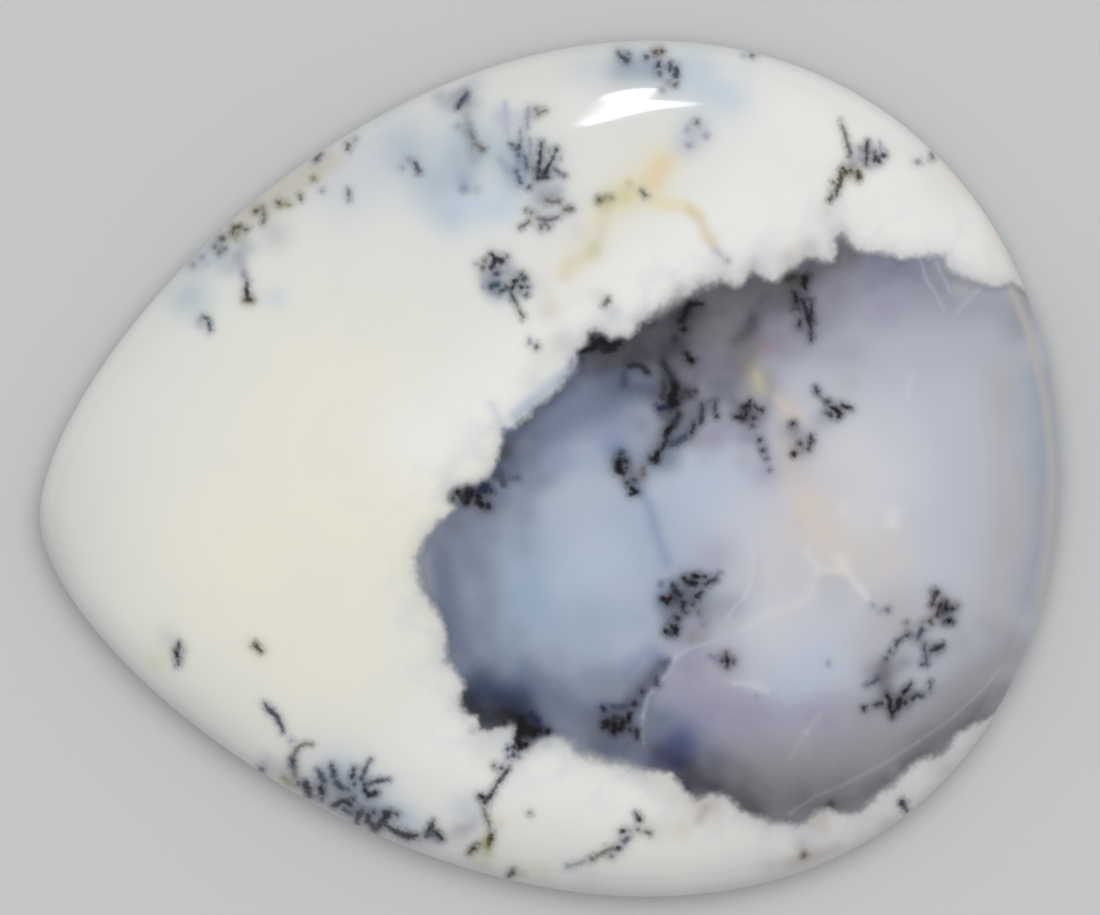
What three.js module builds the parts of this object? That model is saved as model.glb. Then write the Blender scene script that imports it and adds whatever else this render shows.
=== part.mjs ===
import * as THREE from 'three';

// A dendritic agate cabochon: one polished pear-shaped stone with a low dome and a flat back.
// Millimetres, +Z up. The back lies on z = 0, and its middle is the origin.
// The narrow nose of the pear points to -X, and the broad end to +X.

// Overall size of the stone.
const LENGTH = 42;
const WIDTH = 35.2;
const THICKNESS = 6.2;

// Heights of the two edges of the girdle, the upright band round the stone.
const GIRDLE_BOTTOM = 0.6;
const GIRDLE_TOP = 1.5;

// Where the outline touches the four sides of its box, measured from the middle.
const NOSE_Y = -0.4;
const BROAD_END_Y = 0.2;
const LEFT_FLANK_X = 4.1;
const RIGHT_FLANK_X = 4.3;

// How far each curve of the outline keeps straight on from the place where it touches the box.
const NOSE_LEFT_REACH = 5.1;
const LEFT_FLANK_NOSE_REACH = 13.1;
const LEFT_FLANK_END_REACH = 9.7;
const BROAD_END_LEFT_REACH = 10.2;
const BROAD_END_RIGHT_REACH = 8.9;
const RIGHT_FLANK_END_REACH = 11.2;
const RIGHT_FLANK_NOSE_REACH = 12.8;
const NOSE_RIGHT_REACH = 5.2;

// The dome is highest at its crown, and every level of it is the outline drawn in towards the crown.
const CROWN_X = 2.5;
const CROWN_Y = 0;
const DOME_FLATNESS = 2.2;

// The back edge is bevelled: the flat back is the outline drawn in to this share.
const BACK_SHARE = 0.965;

// Fineness of the facets.
const STEPS_PER_CURVE = 32;
const DOME_LEVELS = 16;

// Seen from above, the outline runs clockwise from the nose: left flank, broad end, right flank.
function stoneOutline() {
  const nose = { x: -LENGTH / 2, y: NOSE_Y };
  const left = { x: LEFT_FLANK_X, y: WIDTH / 2 };
  const end = { x: LENGTH / 2, y: BROAD_END_Y };
  const right = { x: RIGHT_FLANK_X, y: -WIDTH / 2 };
  const path = new THREE.Path();
  path.moveTo(nose.x, nose.y);
  path.bezierCurveTo(nose.x, nose.y + NOSE_LEFT_REACH, left.x - LEFT_FLANK_NOSE_REACH, left.y, left.x, left.y);
  path.bezierCurveTo(left.x + LEFT_FLANK_END_REACH, left.y, end.x, end.y + BROAD_END_LEFT_REACH, end.x, end.y);
  path.bezierCurveTo(end.x, end.y - BROAD_END_RIGHT_REACH, right.x + RIGHT_FLANK_END_REACH, right.y, right.x, right.y);
  path.bezierCurveTo(right.x - RIGHT_FLANK_NOSE_REACH, right.y, nose.x, nose.y - NOSE_RIGHT_REACH, nose.x, nose.y);
  const points = path.getPoints(STEPS_PER_CURVE);
  points.pop();
  return points;
}

// Height of the dome where the outline is drawn in to a given share of its reach from the crown.
function domeHeight(share) {
  return GIRDLE_TOP + (THICKNESS - GIRDLE_TOP) * Math.sqrt(1 - share ** DOME_FLATNESS);
}

// The levels of the stone from the back edge up to the last ring below the crown.
function stoneLevels() {
  const levels = [
    { share: BACK_SHARE, z: 0 },
    { share: 1, z: GIRDLE_BOTTOM },
    { share: 1, z: GIRDLE_TOP },
  ];
  for (let level = DOME_LEVELS - 1; level > 0; level -= 1) {
    const share = Math.sin((Math.PI / 2) * (level / DOME_LEVELS));
    levels.push({ share, z: domeHeight(share) });
  }
  return levels;
}

// One closed skin: a ring of points for each level, with a point in the middle of the back and one at the crown.
function stoneGeometry() {
  const outline = stoneOutline();
  const levels = stoneLevels();
  const around = outline.length;
  const positions = [CROWN_X, CROWN_Y, 0];
  for (const { share, z } of levels) {
    for (const point of outline) {
      positions.push(CROWN_X + (point.x - CROWN_X) * share, CROWN_Y + (point.y - CROWN_Y) * share, z);
    }
  }
  positions.push(CROWN_X, CROWN_Y, THICKNESS);

  const crown = 1 + levels.length * around;
  const ringPoint = (level, step) => 1 + level * around + (step % around);
  const faces = [];
  for (let step = 0; step < around; step += 1) {
    faces.push(0, ringPoint(0, step), ringPoint(0, step + 1));
    for (let level = 0; level < levels.length - 1; level += 1) {
      const a = ringPoint(level, step);
      const b = ringPoint(level, step + 1);
      const c = ringPoint(level + 1, step + 1);
      const d = ringPoint(level + 1, step);
      faces.push(a, c, b);
      faces.push(a, d, c);
    }
    faces.push(crown, ringPoint(levels.length - 1, step + 1), ringPoint(levels.length - 1, step));
  }

  const geometry = new THREE.BufferGeometry();
  geometry.setAttribute('position', new THREE.Float32BufferAttribute(positions, 3));
  geometry.setIndex(faces);
  geometry.computeVertexNormals();
  return geometry;
}

// Polished agate, mostly creamy white.
const agate = new THREE.MeshStandardMaterial({ color: 0xdedbd0, roughness: 0.12, metalness: 0 });

const cabochon = new THREE.Mesh(stoneGeometry(), agate);
cabochon.name = 'cabochon';

const group = new THREE.Group();
group.add(cabochon);

export default group;
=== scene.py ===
import math

import bpy
import numpy as np
from mathutils import Matrix, Vector


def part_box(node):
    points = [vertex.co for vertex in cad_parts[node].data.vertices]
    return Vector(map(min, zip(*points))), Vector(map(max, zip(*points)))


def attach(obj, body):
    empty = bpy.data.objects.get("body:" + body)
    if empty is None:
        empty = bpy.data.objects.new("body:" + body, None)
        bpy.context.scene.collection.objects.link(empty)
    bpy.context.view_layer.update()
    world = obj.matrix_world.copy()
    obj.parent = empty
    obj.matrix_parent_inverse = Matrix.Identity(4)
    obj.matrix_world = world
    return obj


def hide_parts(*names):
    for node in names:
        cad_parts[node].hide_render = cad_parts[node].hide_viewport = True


# A dendritic agate cabochon: a polished pear-shaped stone, milky white with a clear blue-grey window.
# Manganese dendrites, like small black ferns, stand in both.
# Metres, +Z up. The flat back lies on z = 0, the nose points to -X and the broad end to +X.

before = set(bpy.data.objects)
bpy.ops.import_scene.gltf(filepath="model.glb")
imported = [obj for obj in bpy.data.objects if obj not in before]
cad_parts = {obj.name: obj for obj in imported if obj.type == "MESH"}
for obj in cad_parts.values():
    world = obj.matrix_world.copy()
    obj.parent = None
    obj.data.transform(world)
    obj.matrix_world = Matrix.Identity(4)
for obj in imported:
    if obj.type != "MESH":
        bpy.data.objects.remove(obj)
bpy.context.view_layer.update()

bl_info = {
    "name": "Dendritic agate cabochon",
    "version": (1, 0, 0),
    "blender": (4, 5, 0),
    "location": "View3D > Sidebar > Agate",
    "description": "Cuts and colours a dendritic agate cabochon and sets it under studio light",
    "category": "Add Mesh",
}

MM = 0.001
BOX_LOW, BOX_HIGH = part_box("cabochon")

# Heights of the two edges of the girdle, the upright band round the stone.
GIRDLE_BOTTOM = 0.6 * MM
GIRDLE_TOP = 1.5 * MM

# Where the outline touches the four sides of its box, and how far each curve keeps straight on from there.
NOSE_Y = -0.4 * MM
BROAD_END_Y = 0.2 * MM
LEFT_FLANK_X = 4.1 * MM
RIGHT_FLANK_X = 4.3 * MM
NOSE_LEFT_REACH = 5.1 * MM
LEFT_FLANK_NOSE_REACH = 13.1 * MM
LEFT_FLANK_END_REACH = 9.7 * MM
BROAD_END_LEFT_REACH = 10.2 * MM
BROAD_END_RIGHT_REACH = 8.9 * MM
RIGHT_FLANK_END_REACH = 11.2 * MM
RIGHT_FLANK_NOSE_REACH = 12.8 * MM
NOSE_RIGHT_REACH = 5.2 * MM
POINTS_PER_CURVE = 160

# The dome is highest at its crown, and the flat back is the outline drawn in to a share.
CROWN_X = 2.5 * MM
CROWN_Y = 0.0
DOME_FLATNESS = 2.2
BACK_SHARE = 0.965

# Levels of the skin: 0 to 1 is the dome, to 2 the girdle, to 3 the bevel and to 4 the flat back.
RIM = 1
GIRDLE_FOOT = 2
BACK_EDGE = 3
BACK_MIDDLE = 4
GIRDLE_ROWS = (1.25, 1.5, 1.75, GIRDLE_FOOT)
BEVEL_ROWS = (2.34, 2.67, BACK_EDGE)

# The dome and the back are square sheets of right triangles, bent round and split where the markings
# need it. A sheet is this many steps wide, a coarser sketch of it says where to split it, and its rim is
# split evenly, every few steps.
GRID = 2048
SKETCH_GRID = 256
RIM_STEP = 8
CUTTING_TREE = "Cut the cabochon"

# Lengths of the facets: finest at a dendrite, and so many times as long at the window's edge and on the
# back. The facets grow away from the markings, up to the coarsest.
FINEST = 0.103 * MM
COARSEST_TOP = 0.5 * MM
COARSEST_BACK = 1.3 * MM
COARSER_AT_EDGE = 1.6
COARSER_BEHIND = 3.2

# Pixels on each side of a dendrite's outline and of the window's edge where the facets stay fine, the
# finest facet that a cloud asks for, and how far round a cloud it asks.
INK_BAND = 2.5
EDGE_BAND = 5
CLOUD_FACET = 4
CLOUD_MARGIN = 20

# Dendrites closer than about this many pixels run together, more so where they show dimly at the back,
# and shrink there by some pixels. One counts no further off than its spread.
MERGE = 1.1
MERGE_BEHIND = 4.0
SHRINK_BEHIND = 3
INK_SPREAD = 45

# The weight of the dendrites where none is near, and the smallest distances that are divided by, in
# pixels and in metres.
NEXT_TO_NOTHING = 1e-300
SMALLEST_PX = 1e-6
SMALLEST_GAP = 1e-7

# A cloud fades to nothing at this many times its reach. Each dendrite clouds the stone round it as
# strongly as this, and as many pixels beyond its outline.
CLOUD_SPREAD = 3
SMOKE_STRENGTH = 0.15
SMOKE_REACH = 5.5

# The white lets this share of the window through at its edge, and thins out over some millimetres.
THINNING = 0.45
THINNING_REACH = 0.32

# Round cells and noise fray the edges: how many there are a millimetre, and how many millimetres they
# swing an edge. The cells' mean distance is taken off, so that an edge stays in its place.
CELL_MEAN = 0.42
LOBES_PER_MM = 1.5
LOBE_SWING = 0.16
SMALL_LOBES_PER_MM = 4.0
SMALL_LOBE_SWING = 0.09
CLUMPS_PER_MM = 4.5
CLUMP_SWING = 0.04
FRINGE_PER_MM = 4.0
FRINGE_SWING = 0.08
FEATHER_SWING = 0.2
CRUMBS_PER_MM = 8.0
CRUMB_SWING = 0.04
CLOUDS_PER_MM = 0.45

# Creases in the white, greyed as painted shade: how many a millimetre, how far the fringe shifts them, and
# the ranges from none to full, over the way to the window and over the distance to the middle of a cell.
CREASES_PER_MM = 0.8
CREASE_SHIFT = 0.15
CREASE_BAND = (-2.6, -0.4)
CREASE_RANGE = (0.4, 0.85)
CREASE_STRENGTH = 0.5

# Faint haze in the white and in the window, over ranges of the noise, and the painted shade in the
# window beside the white, over millimetres.
WHITE_HAZE_RANGE = (0.45, 0.75)
WHITE_HAZE_STRENGTH = 0.1
WINDOW_HAZE_RANGE = (0.4, 0.7)
WINDOW_HAZE_STRENGTH = 0.08
SHADE_BAND = (0.0, 0.4)
SHADE_STRENGTH = 0.3

# Dendrites: the bands across their outline, in millimetres, over which the body, its veil and the crumbs
# fade out, and how strongly each covers. Crumbs are where the noise is high. The power deepens them all.
BODY_BAND = (-0.19, 0.13)
BODY_STRENGTH = 0.97
VEIL_BAND = (-0.15, 0.25)
VEIL_STRENGTH = 0.33
CRUMB_BAND = (0.0, 0.3)
CRUMB_RANGE = (0.5, 0.68)
CRUMB_STRENGTH = 0.09
COVER_POWER = 2.2

# The polish: how much its roughness varies, the stone's index of refraction, and how much of a level
# before the back's edge the ground back begins.
POLISH_SWING = 0.03
AGATE_IOR = 1.54
GROUND_BLEND = 0.05

# The Mix node's colour sockets by number, because its sockets for numbers have the same names.
MIX_BELOW = 6
MIX_ABOVE = 7
MIX_RESULT = 2

# The map for baking: the dome, girdle and bevel as one round patch, and the back as a small one. The
# patch's radius goes by the distance from the crown, by the fall of the dome and by the rows at the rim.
PLAN_SHARE = 0.9
FALL_SHARE = 0.1
ROW_SHARE = 0.05
PATCH_REACH = PLAN_SHARE + FALL_SHARE + 2 * ROW_SHARE
PATCH_WIDTH = 0.97
PATCH_TOP = 0.985
BACK_PATCH_WIDTH = 0.13
BACK_PATCH_MIDDLE = (0.1, 0.085)

# The stage, in metres. The polish mirrors only a share of the even light, as in a dark room.
FLOOR_REACH = 6.0
FLOOR_DROP = 0.02 * MM
FLOOR_ROUGHNESS = 0.9
FLOOR_SHINE = 0.2
SOFTBOX_DISTANCE = 0.45
MAIN_LIGHT_SPREAD = math.radians(50)
MAIN_LIGHT_TILT = (math.radians(-10), math.radians(4), 0)
MIRRORED_SKY_SHARE = 0.3
CAMERA_NEAR = 0.1
CAMERA_FAR = 10

# The markings are placed in the photograph's pixels, which the camera looks at straight from above.
PHOTO_WIDTH = 1100
PHOTO_HEIGHT = 915
STONE_PX = (548.9, 475.8)
PX_PER_MM = 24.33
STONE_TURN = math.radians(4.1)
CAMERA_HEIGHT = 900 * MM
SENSOR_WIDTH = 36

# Colours as they look, in plain sRGB steps from 0 to 255.
COLOURS = {
    "black": (20, 19, 24),
    "ink": (42, 43, 54),
    "navy": (36, 40, 66),
    "slate": (70, 76, 92),
    "teal": (62, 76, 86),
    "moss": (42, 50, 42),
    "umber": (70, 62, 46),
    "rust": (48, 24, 24),
    "plum": (96, 94, 112),
    "ash": (112, 112, 108),
    "olive": (146, 144, 116),
    "mist": (150, 154, 165),
    "haze": (182, 186, 200),
    "milk": (222, 223, 219),
    "cream": (231, 228, 213),
    "snow": (234, 234, 231),
    "chalk": (211, 211, 208),
    "cool white": (205, 209, 214),
    "ice": (190, 204, 218),
    "pale blue": (178, 190, 206),
    "frost": (174, 188, 199),
    "dull blue": (140, 156, 172),
    "warm grey": (200, 195, 184),
    "shell": (230, 223, 212),
    "straw": (225, 212, 176),
    "amber": (223, 196, 156),
    "ochre": (203, 196, 148),
    "tan": (211, 198, 172),
    "rose tan": (203, 178, 156),
    "sage": (187, 196, 148),
    "moss stain": (180, 182, 142),
    "lilac": (208, 206, 214),
    "pearl": (202, 202, 206),
    "pale lavender": (198, 199, 209),
    "lavender": (185, 189, 202),
    "grey blue": (160, 172, 186),
    "lake": (150, 168, 188),
    "sky": (177, 190, 208),
    "periwinkle": (124, 138, 170),
    "slate blue": (112, 122, 147),
    "steel": (128, 141, 158),
    "dusk": (106, 115, 134),
    "storm": (88, 96, 116),
    "smoke": (104, 103, 110),
    "dark smoke": (82, 81, 89),
    "dusky plum": (104, 103, 120),
    "soot": (58, 57, 66),
    "night": (34, 37, 50),
    "deep sea": (50, 60, 84),
    "indigo": (72, 80, 117),
    "midnight": (54, 56, 86),
    "mauve": (150, 147, 168),
    "dim mauve": (128, 127, 145),
    "rose": (212, 197, 188),
    "rose ash": (192, 183, 181),
    "dim rose": (146, 128, 137),
    "peach": (222, 205, 187),
    "gold": (196, 186, 150),
    "vein": (217, 213, 208),
    "cool vein": (206, 207, 212),
    "rim light": (182, 178, 174),
    "dove": (174, 173, 177),
    "pewter": (148, 147, 153),
    "iron": (124, 122, 128),
    "warm pearl": (206, 200, 195),
    "pale stone": (198, 195, 195),
    "haze grey": (158, 161, 174),
    "thistle": (176, 179, 192),
    "lead": (96, 98, 113),
    "deep steel": (112, 125, 145),
    "taupe": (168, 159, 153),
    "tarnish": (178, 167, 138),
    "pale pearl": (207, 208, 213),
    "warm cream": (208, 199, 193),
    "cool grey": (184, 183, 186),
}

# The edge of the clear window, anticlockwise from the right end of the white above it. Each point is
# x, y and half the width over which white fades into clear. The last three lie beyond the stone's rim.
WINDOW_EDGE = (
    (1012, 284, 4), (1004, 286, 4), (990, 288, 4), (977, 283, 5), (960, 278.5, 5), (948, 271, 5),
    (944, 258, 5), (929, 257, 5), (916, 258, 4.5), (899, 260, 4), (891, 255, 4.5), (876, 254, 4.5),
    (858, 252, 5), (849, 245, 4.5), (842, 233, 4.5), (836.5, 238, 4.5), (838, 251, 3), (834, 264.5, 4),
    (824, 263, 6), (815, 258.5, 6.5), (808, 259.5, 5.5), (798, 269.5, 5), (790, 269.5, 7), (785, 274, 6),
    (779, 280, 4.5), (773, 281.5, 5), (764, 280, 5), (752, 270, 6), (745, 284, 5.5), (735, 287.5, 6),
    (721, 281.5, 5.5), (710, 286, 6), (700, 289, 7), (690, 296, 6), (678, 300.5, 10), (666, 307, 10),
    (653, 316, 8), (641, 323, 4), (637, 334, 4.5), (628, 339, 4), (619, 338, 3), (610, 340.5, 4.5),
    (602, 334.5, 3.5), (595, 331, 4), (588, 333, 4), (588, 347, 4), (577.5, 353, 4), (575, 364, 6),
    (571, 376, 5), (562, 384, 5), (555, 394, 4), (548, 401, 5), (535, 406, 5), (530, 415, 4),
    (522, 421, 4.5), (516, 430, 5), (504, 429, 4.5), (503, 443, 4.5), (501, 451, 3.5), (498, 459, 4),
    (494, 475, 3.5), (488, 480.5, 4), (482, 484, 4), (475, 487, 4), (467, 487, 4), (458, 488.5, 4),
    (451, 493, 4.5), (449, 500, 3.5), (457, 508, 4), (449, 515.5, 4), (441, 521.5, 4.5),
    (434, 528.5, 4.5), (427, 536, 5), (421, 548, 6.5), (417, 558, 7), (417.5, 568, 7.5), (420, 577, 6.5),
    (424, 590, 5.5), (430.5, 601.5, 5.5), (440, 611, 5), (445.5, 621, 4.5), (447, 634, 4.5),
    (447, 648, 5.5), (446.5, 661, 6.5), (456.5, 670, 5), (463, 679, 4.5), (465, 686, 4.5), (462, 695, 4),
    (463.5, 707.5, 4), (470, 713.5, 3.5), (476, 716, 3.5), (478.5, 721.5, 3.5), (480.5, 728, 4),
    (487, 730.5, 3.5), (493, 727.5, 3), (502, 725.5, 3), (511, 723, 3.5), (517, 726, 4), (524, 736, 3),
    (531, 742, 5), (540, 737.5, 5), (551, 734.5, 5), (560, 737, 6), (570, 742, 9), (577, 750.5, 10),
    (590, 755.5, 9.5), (600, 758, 8.5), (611, 761.5, 8.5), (622, 763, 8.5), (631, 764.5, 8),
    (641, 767, 7.5), (650, 769.5, 5.5), (662, 771.5, 4.5), (671.5, 773, 4), (679, 782, 3.5),
    (688, 792, 4), (697, 799, 6), (704, 797, 6.5), (712, 791.5, 6.5), (723, 793.5, 4), (735, 801, 5.5),
    (743, 811.5, 4.5), (753, 815, 6), (762, 816.5, 7), (770, 823, 6), (782, 821, 4.5), (796, 825.5, 4),
    (803, 823, 4), (808, 817, 6), (816.5, 810, 6), (830, 809, 4.5), (841, 811, 4.5), (851, 812.5, 3.5),
    (861, 809, 4.5), (869, 801, 7), (880, 792, 6.5), (891, 785, 5.5), (899, 777.5, 4.5), (910, 764, 6),
    (924, 758.5, 6.5), (942, 753, 4.5), (948, 744, 6), (956, 732.5, 6), (972, 724, 5), (988, 718, 4),
    (1004, 710, 5), (1060, 690, 5), (1150, 560, 5), (1100, 330, 5),
)

# The dendrites. Each is an ink and a chain of x, y and half width.
TOP_LEFT_SPRIG = (
    ("slate", (458, 107, 2), (462, 100, 3), (467, 94, 1.8)),
    ("mist", (458, 126.5, 1.8)),
    ("mist", (470, 123.5, 1.4)),
    ("mist", (464.5, 132, 1.2)),
    ("ash", (471, 132, 0.9), (474.5, 140.5, 0.9)),
    ("ash", (476.5, 145, 1.2), (482.5, 149.5, 3)),
    ("mist", (408.5, 159.5, 2.2)),
    ("plum", (415.3, 163.5, 2), (418.8, 171.5, 2.6)),
    ("mist", (402.5, 167.5, 1.6)),
)
TOP_FERN = (
    ("haze", (505, 104, 1.2), (505.5, 112, 2.6), (506.5, 124, 2.8), (507.5, 134, 2.2)),
    ("mist", (528, 108, 1.2), (528, 118, 1.8), (527, 128, 1.2)),
    ("ash", (536, 109, 1), (538, 115, 1.2)),
    ("ash", (539.5, 112.5, 0.9), (546, 109.5, 0.8)),
    ("storm", (511, 144, 1.3), (516.7, 149.5, 2), (519, 158, 0.7)),
    ("slate", (520.5, 141.5, 0.8), (518.5, 149, 1.5)),
    ("mist", (521, 129, 0.8), (520.5, 138, 1.4)),
    ("slate", (525, 157, 1.2), (527, 167, 1.8)),
    ("mist", (530, 140.5, 1.8), (531, 164.5, 1.8)),
    ("storm", (516.5, 171, 1.8), (520, 181.5, 2.3)),
    ("ash", (533, 169, 2.2)),
    ("plum", (529, 187, 2.4)),
    ("ink", (541.3, 143, 1.4), (540.5, 155, 2), (538.6, 170, 2.4), (538.4, 177, 2.2)),
    ("ink", (545, 173, 3)),
    ("ink", (538.4, 177.6, 1.6), (548.2, 176.5, 1.6)),
    ("ink", (546, 171, 2), (551, 161, 1.4), (555.5, 152, 1.2), (556.3, 149.8, 2)),
    ("ash", (549.3, 150.5, 1.1)),
    ("plum", (554.7, 169, 1.4), (564.4, 176, 1.6)),
    ("mist", (560, 159, 1.8)),
    ("ash", (548, 201, 2.2), (559, 201.5, 2)),
    ("ash", (564, 209.5, 1.8), (572, 208.5, 1.8)),
    ("ash", (526, 210, 1.2)),
    ("ash", (532, 212.8, 1.8)),
    ("ash", (529.2, 222, 1.8), (520.5, 227, 1.8)),
    ("smoke", (538.4, 218.8, 1.8), (545, 220, 2.2), (551.4, 218.8, 1.8), (558.5, 217, 1.6)),
    ("smoke", (545, 221, 1.4), (540.6, 228.5, 1.8)),
    ("smoke", (545, 222, 1.4), (549.3, 227.4, 1.8)),
)
LEFT_FERN = (
    ("ink", (491.3, 254, 1.3), (495.7, 258.5, 2.8), (501.5, 261, 3.4)),
    ("ink", (495.7, 259, 3), (492, 267, 3.2)),
    ("ash", (483, 267.4, 3)),
    ("mist", (476.3, 264, 2)),
    ("ash", (485.5, 261, 2)),
    ("slate", (496.7, 273.2, 3)),
    ("ash", (506.5, 257, 1.7)),
    ("teal", (491.3, 286.6, 2.6), (497, 284.6, 3.3)),
    ("teal", (500.8, 291.7, 2.6), (506, 287.2, 2.8)),
    ("ink", (512.3, 287.2, 2.4)),
    ("ink", (514.2, 281.5, 2.8), (517.4, 280.2, 2.4)),
    ("ink", (520.6, 274.4, 2)),
    ("teal", (524.4, 278.3, 3.2)),
    ("ink", (521.2, 287.2, 2.5)),
    ("slate", (527, 286.6, 2)),
    ("plum", (526.3, 294.2, 2.6)),
    ("teal", (511, 293, 1.8), (514.2, 299.3, 2)),
    ("ash", (514.2, 299.3, 1.6), (519.3, 310.2, 1.5), (523.1, 317.2, 1.8)),
    ("mist", (484.2, 286.6, 2.4)),
    ("mist", (529, 339.5, 1.2), (529.6, 343, 1.4)),
    ("ash", (536.5, 346.5, 2.6)),
    ("ash", (607.3, 300, 3.2), (604, 305.5, 1.8)),
    ("mist", (572, 360, 2), (571, 367.5, 3)),
)
HIGH_FERN = (
    ("slate", (618.5, 53, 1.8), (621, 56, 2.4), (627, 61, 2.8)),
    ("slate", (628, 54.4, 1.5)),
    ("plum", (646.4, 57.2, 2.4)),
    ("umber", (655.5, 52, 2.6)),
    ("umber", (661.3, 51.5, 2.4)),
    ("ink", (658.4, 65.4, 2.8)),
    ("plum", (659.4, 73.5, 3.2)),
    ("slate", (670.4, 64, 2.2), (670.4, 69.5, 2.4)),
    ("slate", (676, 69, 3), (675.8, 76, 3.2)),
    ("mist", (668.4, 82, 2.4)),
    ("ash", (675, 84.5, 2.8)),
    ("mist", (663.2, 89.7, 2.4)),
    ("ash", (696.7, 122.3, 2.4)),
    ("mist", (687.5, 128.5, 1.9)),
    ("mist", (706, 135.5, 2)),
    ("mist", (689.5, 145, 1.9)),
    ("haze", (744, 55.5, 2)),
    ("ash", (752.5, 55, 2)),
)
RIGHT_FERN = (
    ("ash", (841, 121, 0.7), (845, 135, 1.6), (848, 146, 2.6), (850.5, 151.6, 2.8), (849.5, 156, 2.2)),
    ("soot", (867.4, 142, 1.2), (866.6, 147.5, 2.4), (866.6, 156, 1.8), (866.2, 163.6, 1.2)),
    ("ash", (859.7, 148.3, 1.2)),
    ("mist", (860.5, 159, 2.2)),
    ("ink", (874.6, 153, 1.2), (875.4, 159, 2.6), (879, 161.5, 2.2)),
    ("soot", (883.6, 155.4, 3)),
    ("mist", (880, 143, 0.8), (880.4, 150, 1.2)),
    ("umber", (842.5, 168, 1.6), (846, 172.5, 2.8)),
    ("umber", (858, 171.5, 2.6), (858.6, 178, 2.8)),
    ("umber", (851.6, 170, 2.4)),
    ("umber", (841, 173.5, 2), (840.6, 180.4, 2.8), (836.7, 191, 2), (836.5, 195, 1.2)),
    ("ash", (833.7, 182.5, 2)),
    ("umber", (831.4, 195, 1.6), (829.7, 199.6, 2)),
    ("mist", (918, 162, 2.6)),
    ("smoke", (932, 154.5, 1.4), (932.5, 158, 1.8)),
)
WINDOW_TOP_FRINGE = (
    ("black", (592.4, 338.6, 1.4), (595, 341.5, 2.8), (601, 342, 4.6), (608.5, 346, 3.4),
     (619, 343.5, 3.6)),
    ("black", (596, 345, 4), (581.5, 352.5, 2.4)),
    ("black", (603, 350, 3), (614, 350, 2.6)),
    ("black", (702.5, 303.8, 1.9), (691, 304, 4), (687, 310, 3.4), (681, 321, 3.2)),
    ("black", (684.3, 328.7, 3.2)),
    ("ink", (674.7, 338.3, 2.5)),
    ("black", (686.5, 354, 2), (688.5, 358.5, 3), (692.5, 361.5, 3.2)),
    ("moss", (788.5, 278, 2.6), (792.5, 277.5, 3.4)),
    ("umber", (805, 273, 2)),
    ("black", (804.8, 278, 4), (804, 284, 3.4), (805.5, 289, 1.4)),
    ("plum", (806, 265, 2.4), (802.6, 271.5, 2.2)),
)
WINDOW_TOP_SPRAY = (
    ("black", (794.8, 293.6, 2.1), (796.6, 302, 3.1)),
    ("soot", (797.5, 305, 1.3), (799.7, 310, 1.8)),
    ("soot", (793.5, 309, 1.6)),
    ("black", (800.4, 320.5, 1.8), (799.7, 326, 1.8)),
    ("smoke", (796, 324.7, 1.5)),
    ("black", (802, 299.8, 1.5), (804, 304.7, 1.8), (807.3, 312, 2.2), (809.7, 320.5, 3)),
    ("soot", (807.5, 298.5, 1.8)),
    ("ink", (811.5, 299.8, 1.1), (811.5, 309.5, 1.8), (810.5, 320.5, 2.1)),
    ("ink", (809.7, 320.5, 2.1), (810.9, 327.7, 1.5), (811, 333.8, 2), (810.6, 340, 1.1)),
)
WINDOW_CENTRE_FERN = (
    ("ink", (663, 361, 2.2), (666, 368, 2.8), (670, 374, 2.4), (673, 381, 2.4)),
    ("soot", (663, 382, 2), (665, 388, 3.4), (663, 396, 3.8)),
    ("smoke", (688, 370, 0.7), (685, 379, 0.7)),
    ("smoke", (697, 370, 0.6), (693, 381, 0.6)),
    ("black", (673, 382, 2.6), (676, 389, 4.2), (672, 396, 5.2), (671, 404, 4.8)),
    ("black", (675, 402, 4.6)),
    ("navy", (666, 407, 3.2), (660, 408.5, 3.8)),
    ("slate", (657, 404, 2)),
    ("soot", (681, 391, 3.4), (688, 392, 2.6), (690, 396, 2.2)),
    ("soot", (683, 397, 3.2)),
    ("soot", (694.5, 391.5, 2.3)),
    ("ink", (678.5, 414, 3), (675, 422, 3.6)),
    ("black", (672, 426, 3.2), (667, 432, 3.8)),
    ("ink", (667, 434, 2.8), (665.5, 443, 2.6), (661.5, 449, 2.4)),
    ("black", (658, 452.5, 3), (655.5, 460.5, 3.6), (652.5, 459, 2.8)),
    ("slate", (671, 444, 2.8), (678, 441, 4.4), (684.5, 437, 4)),
    ("ink", (694.5, 425, 2), (691.5, 431.5, 2.4)),
    ("soot", (702, 404, 1.6), (702.5, 412, 2), (701, 421.5, 2.6)),
    ("soot", (715, 402, 1.2), (715, 409, 1.8), (717, 416.5, 2.3)),
    ("slate", (625, 370, 2), (624, 376, 3), (624, 383, 3)),
    ("ink", (629, 366, 2.8), (637, 364.5, 3.2), (642, 366.5, 3.6), (647, 372, 3.4)),
    ("teal", (621, 453.5, 4)),
    ("black", (619, 462, 4.4), (619, 470, 4.6), (622.5, 472.5, 3)),
    ("smoke", (643.5, 468, 2.2), (643, 474, 2.4)),
    ("ink", (625, 461, 3)),
    ("ink", (626, 468, 2)),
    ("black", (626.6, 483, 2)),
    ("ink", (634.5, 480, 1.4)),
    ("black", (632, 489, 2.6), (636, 491.8, 2.8), (630.8, 494.2, 2.2)),
)
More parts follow.
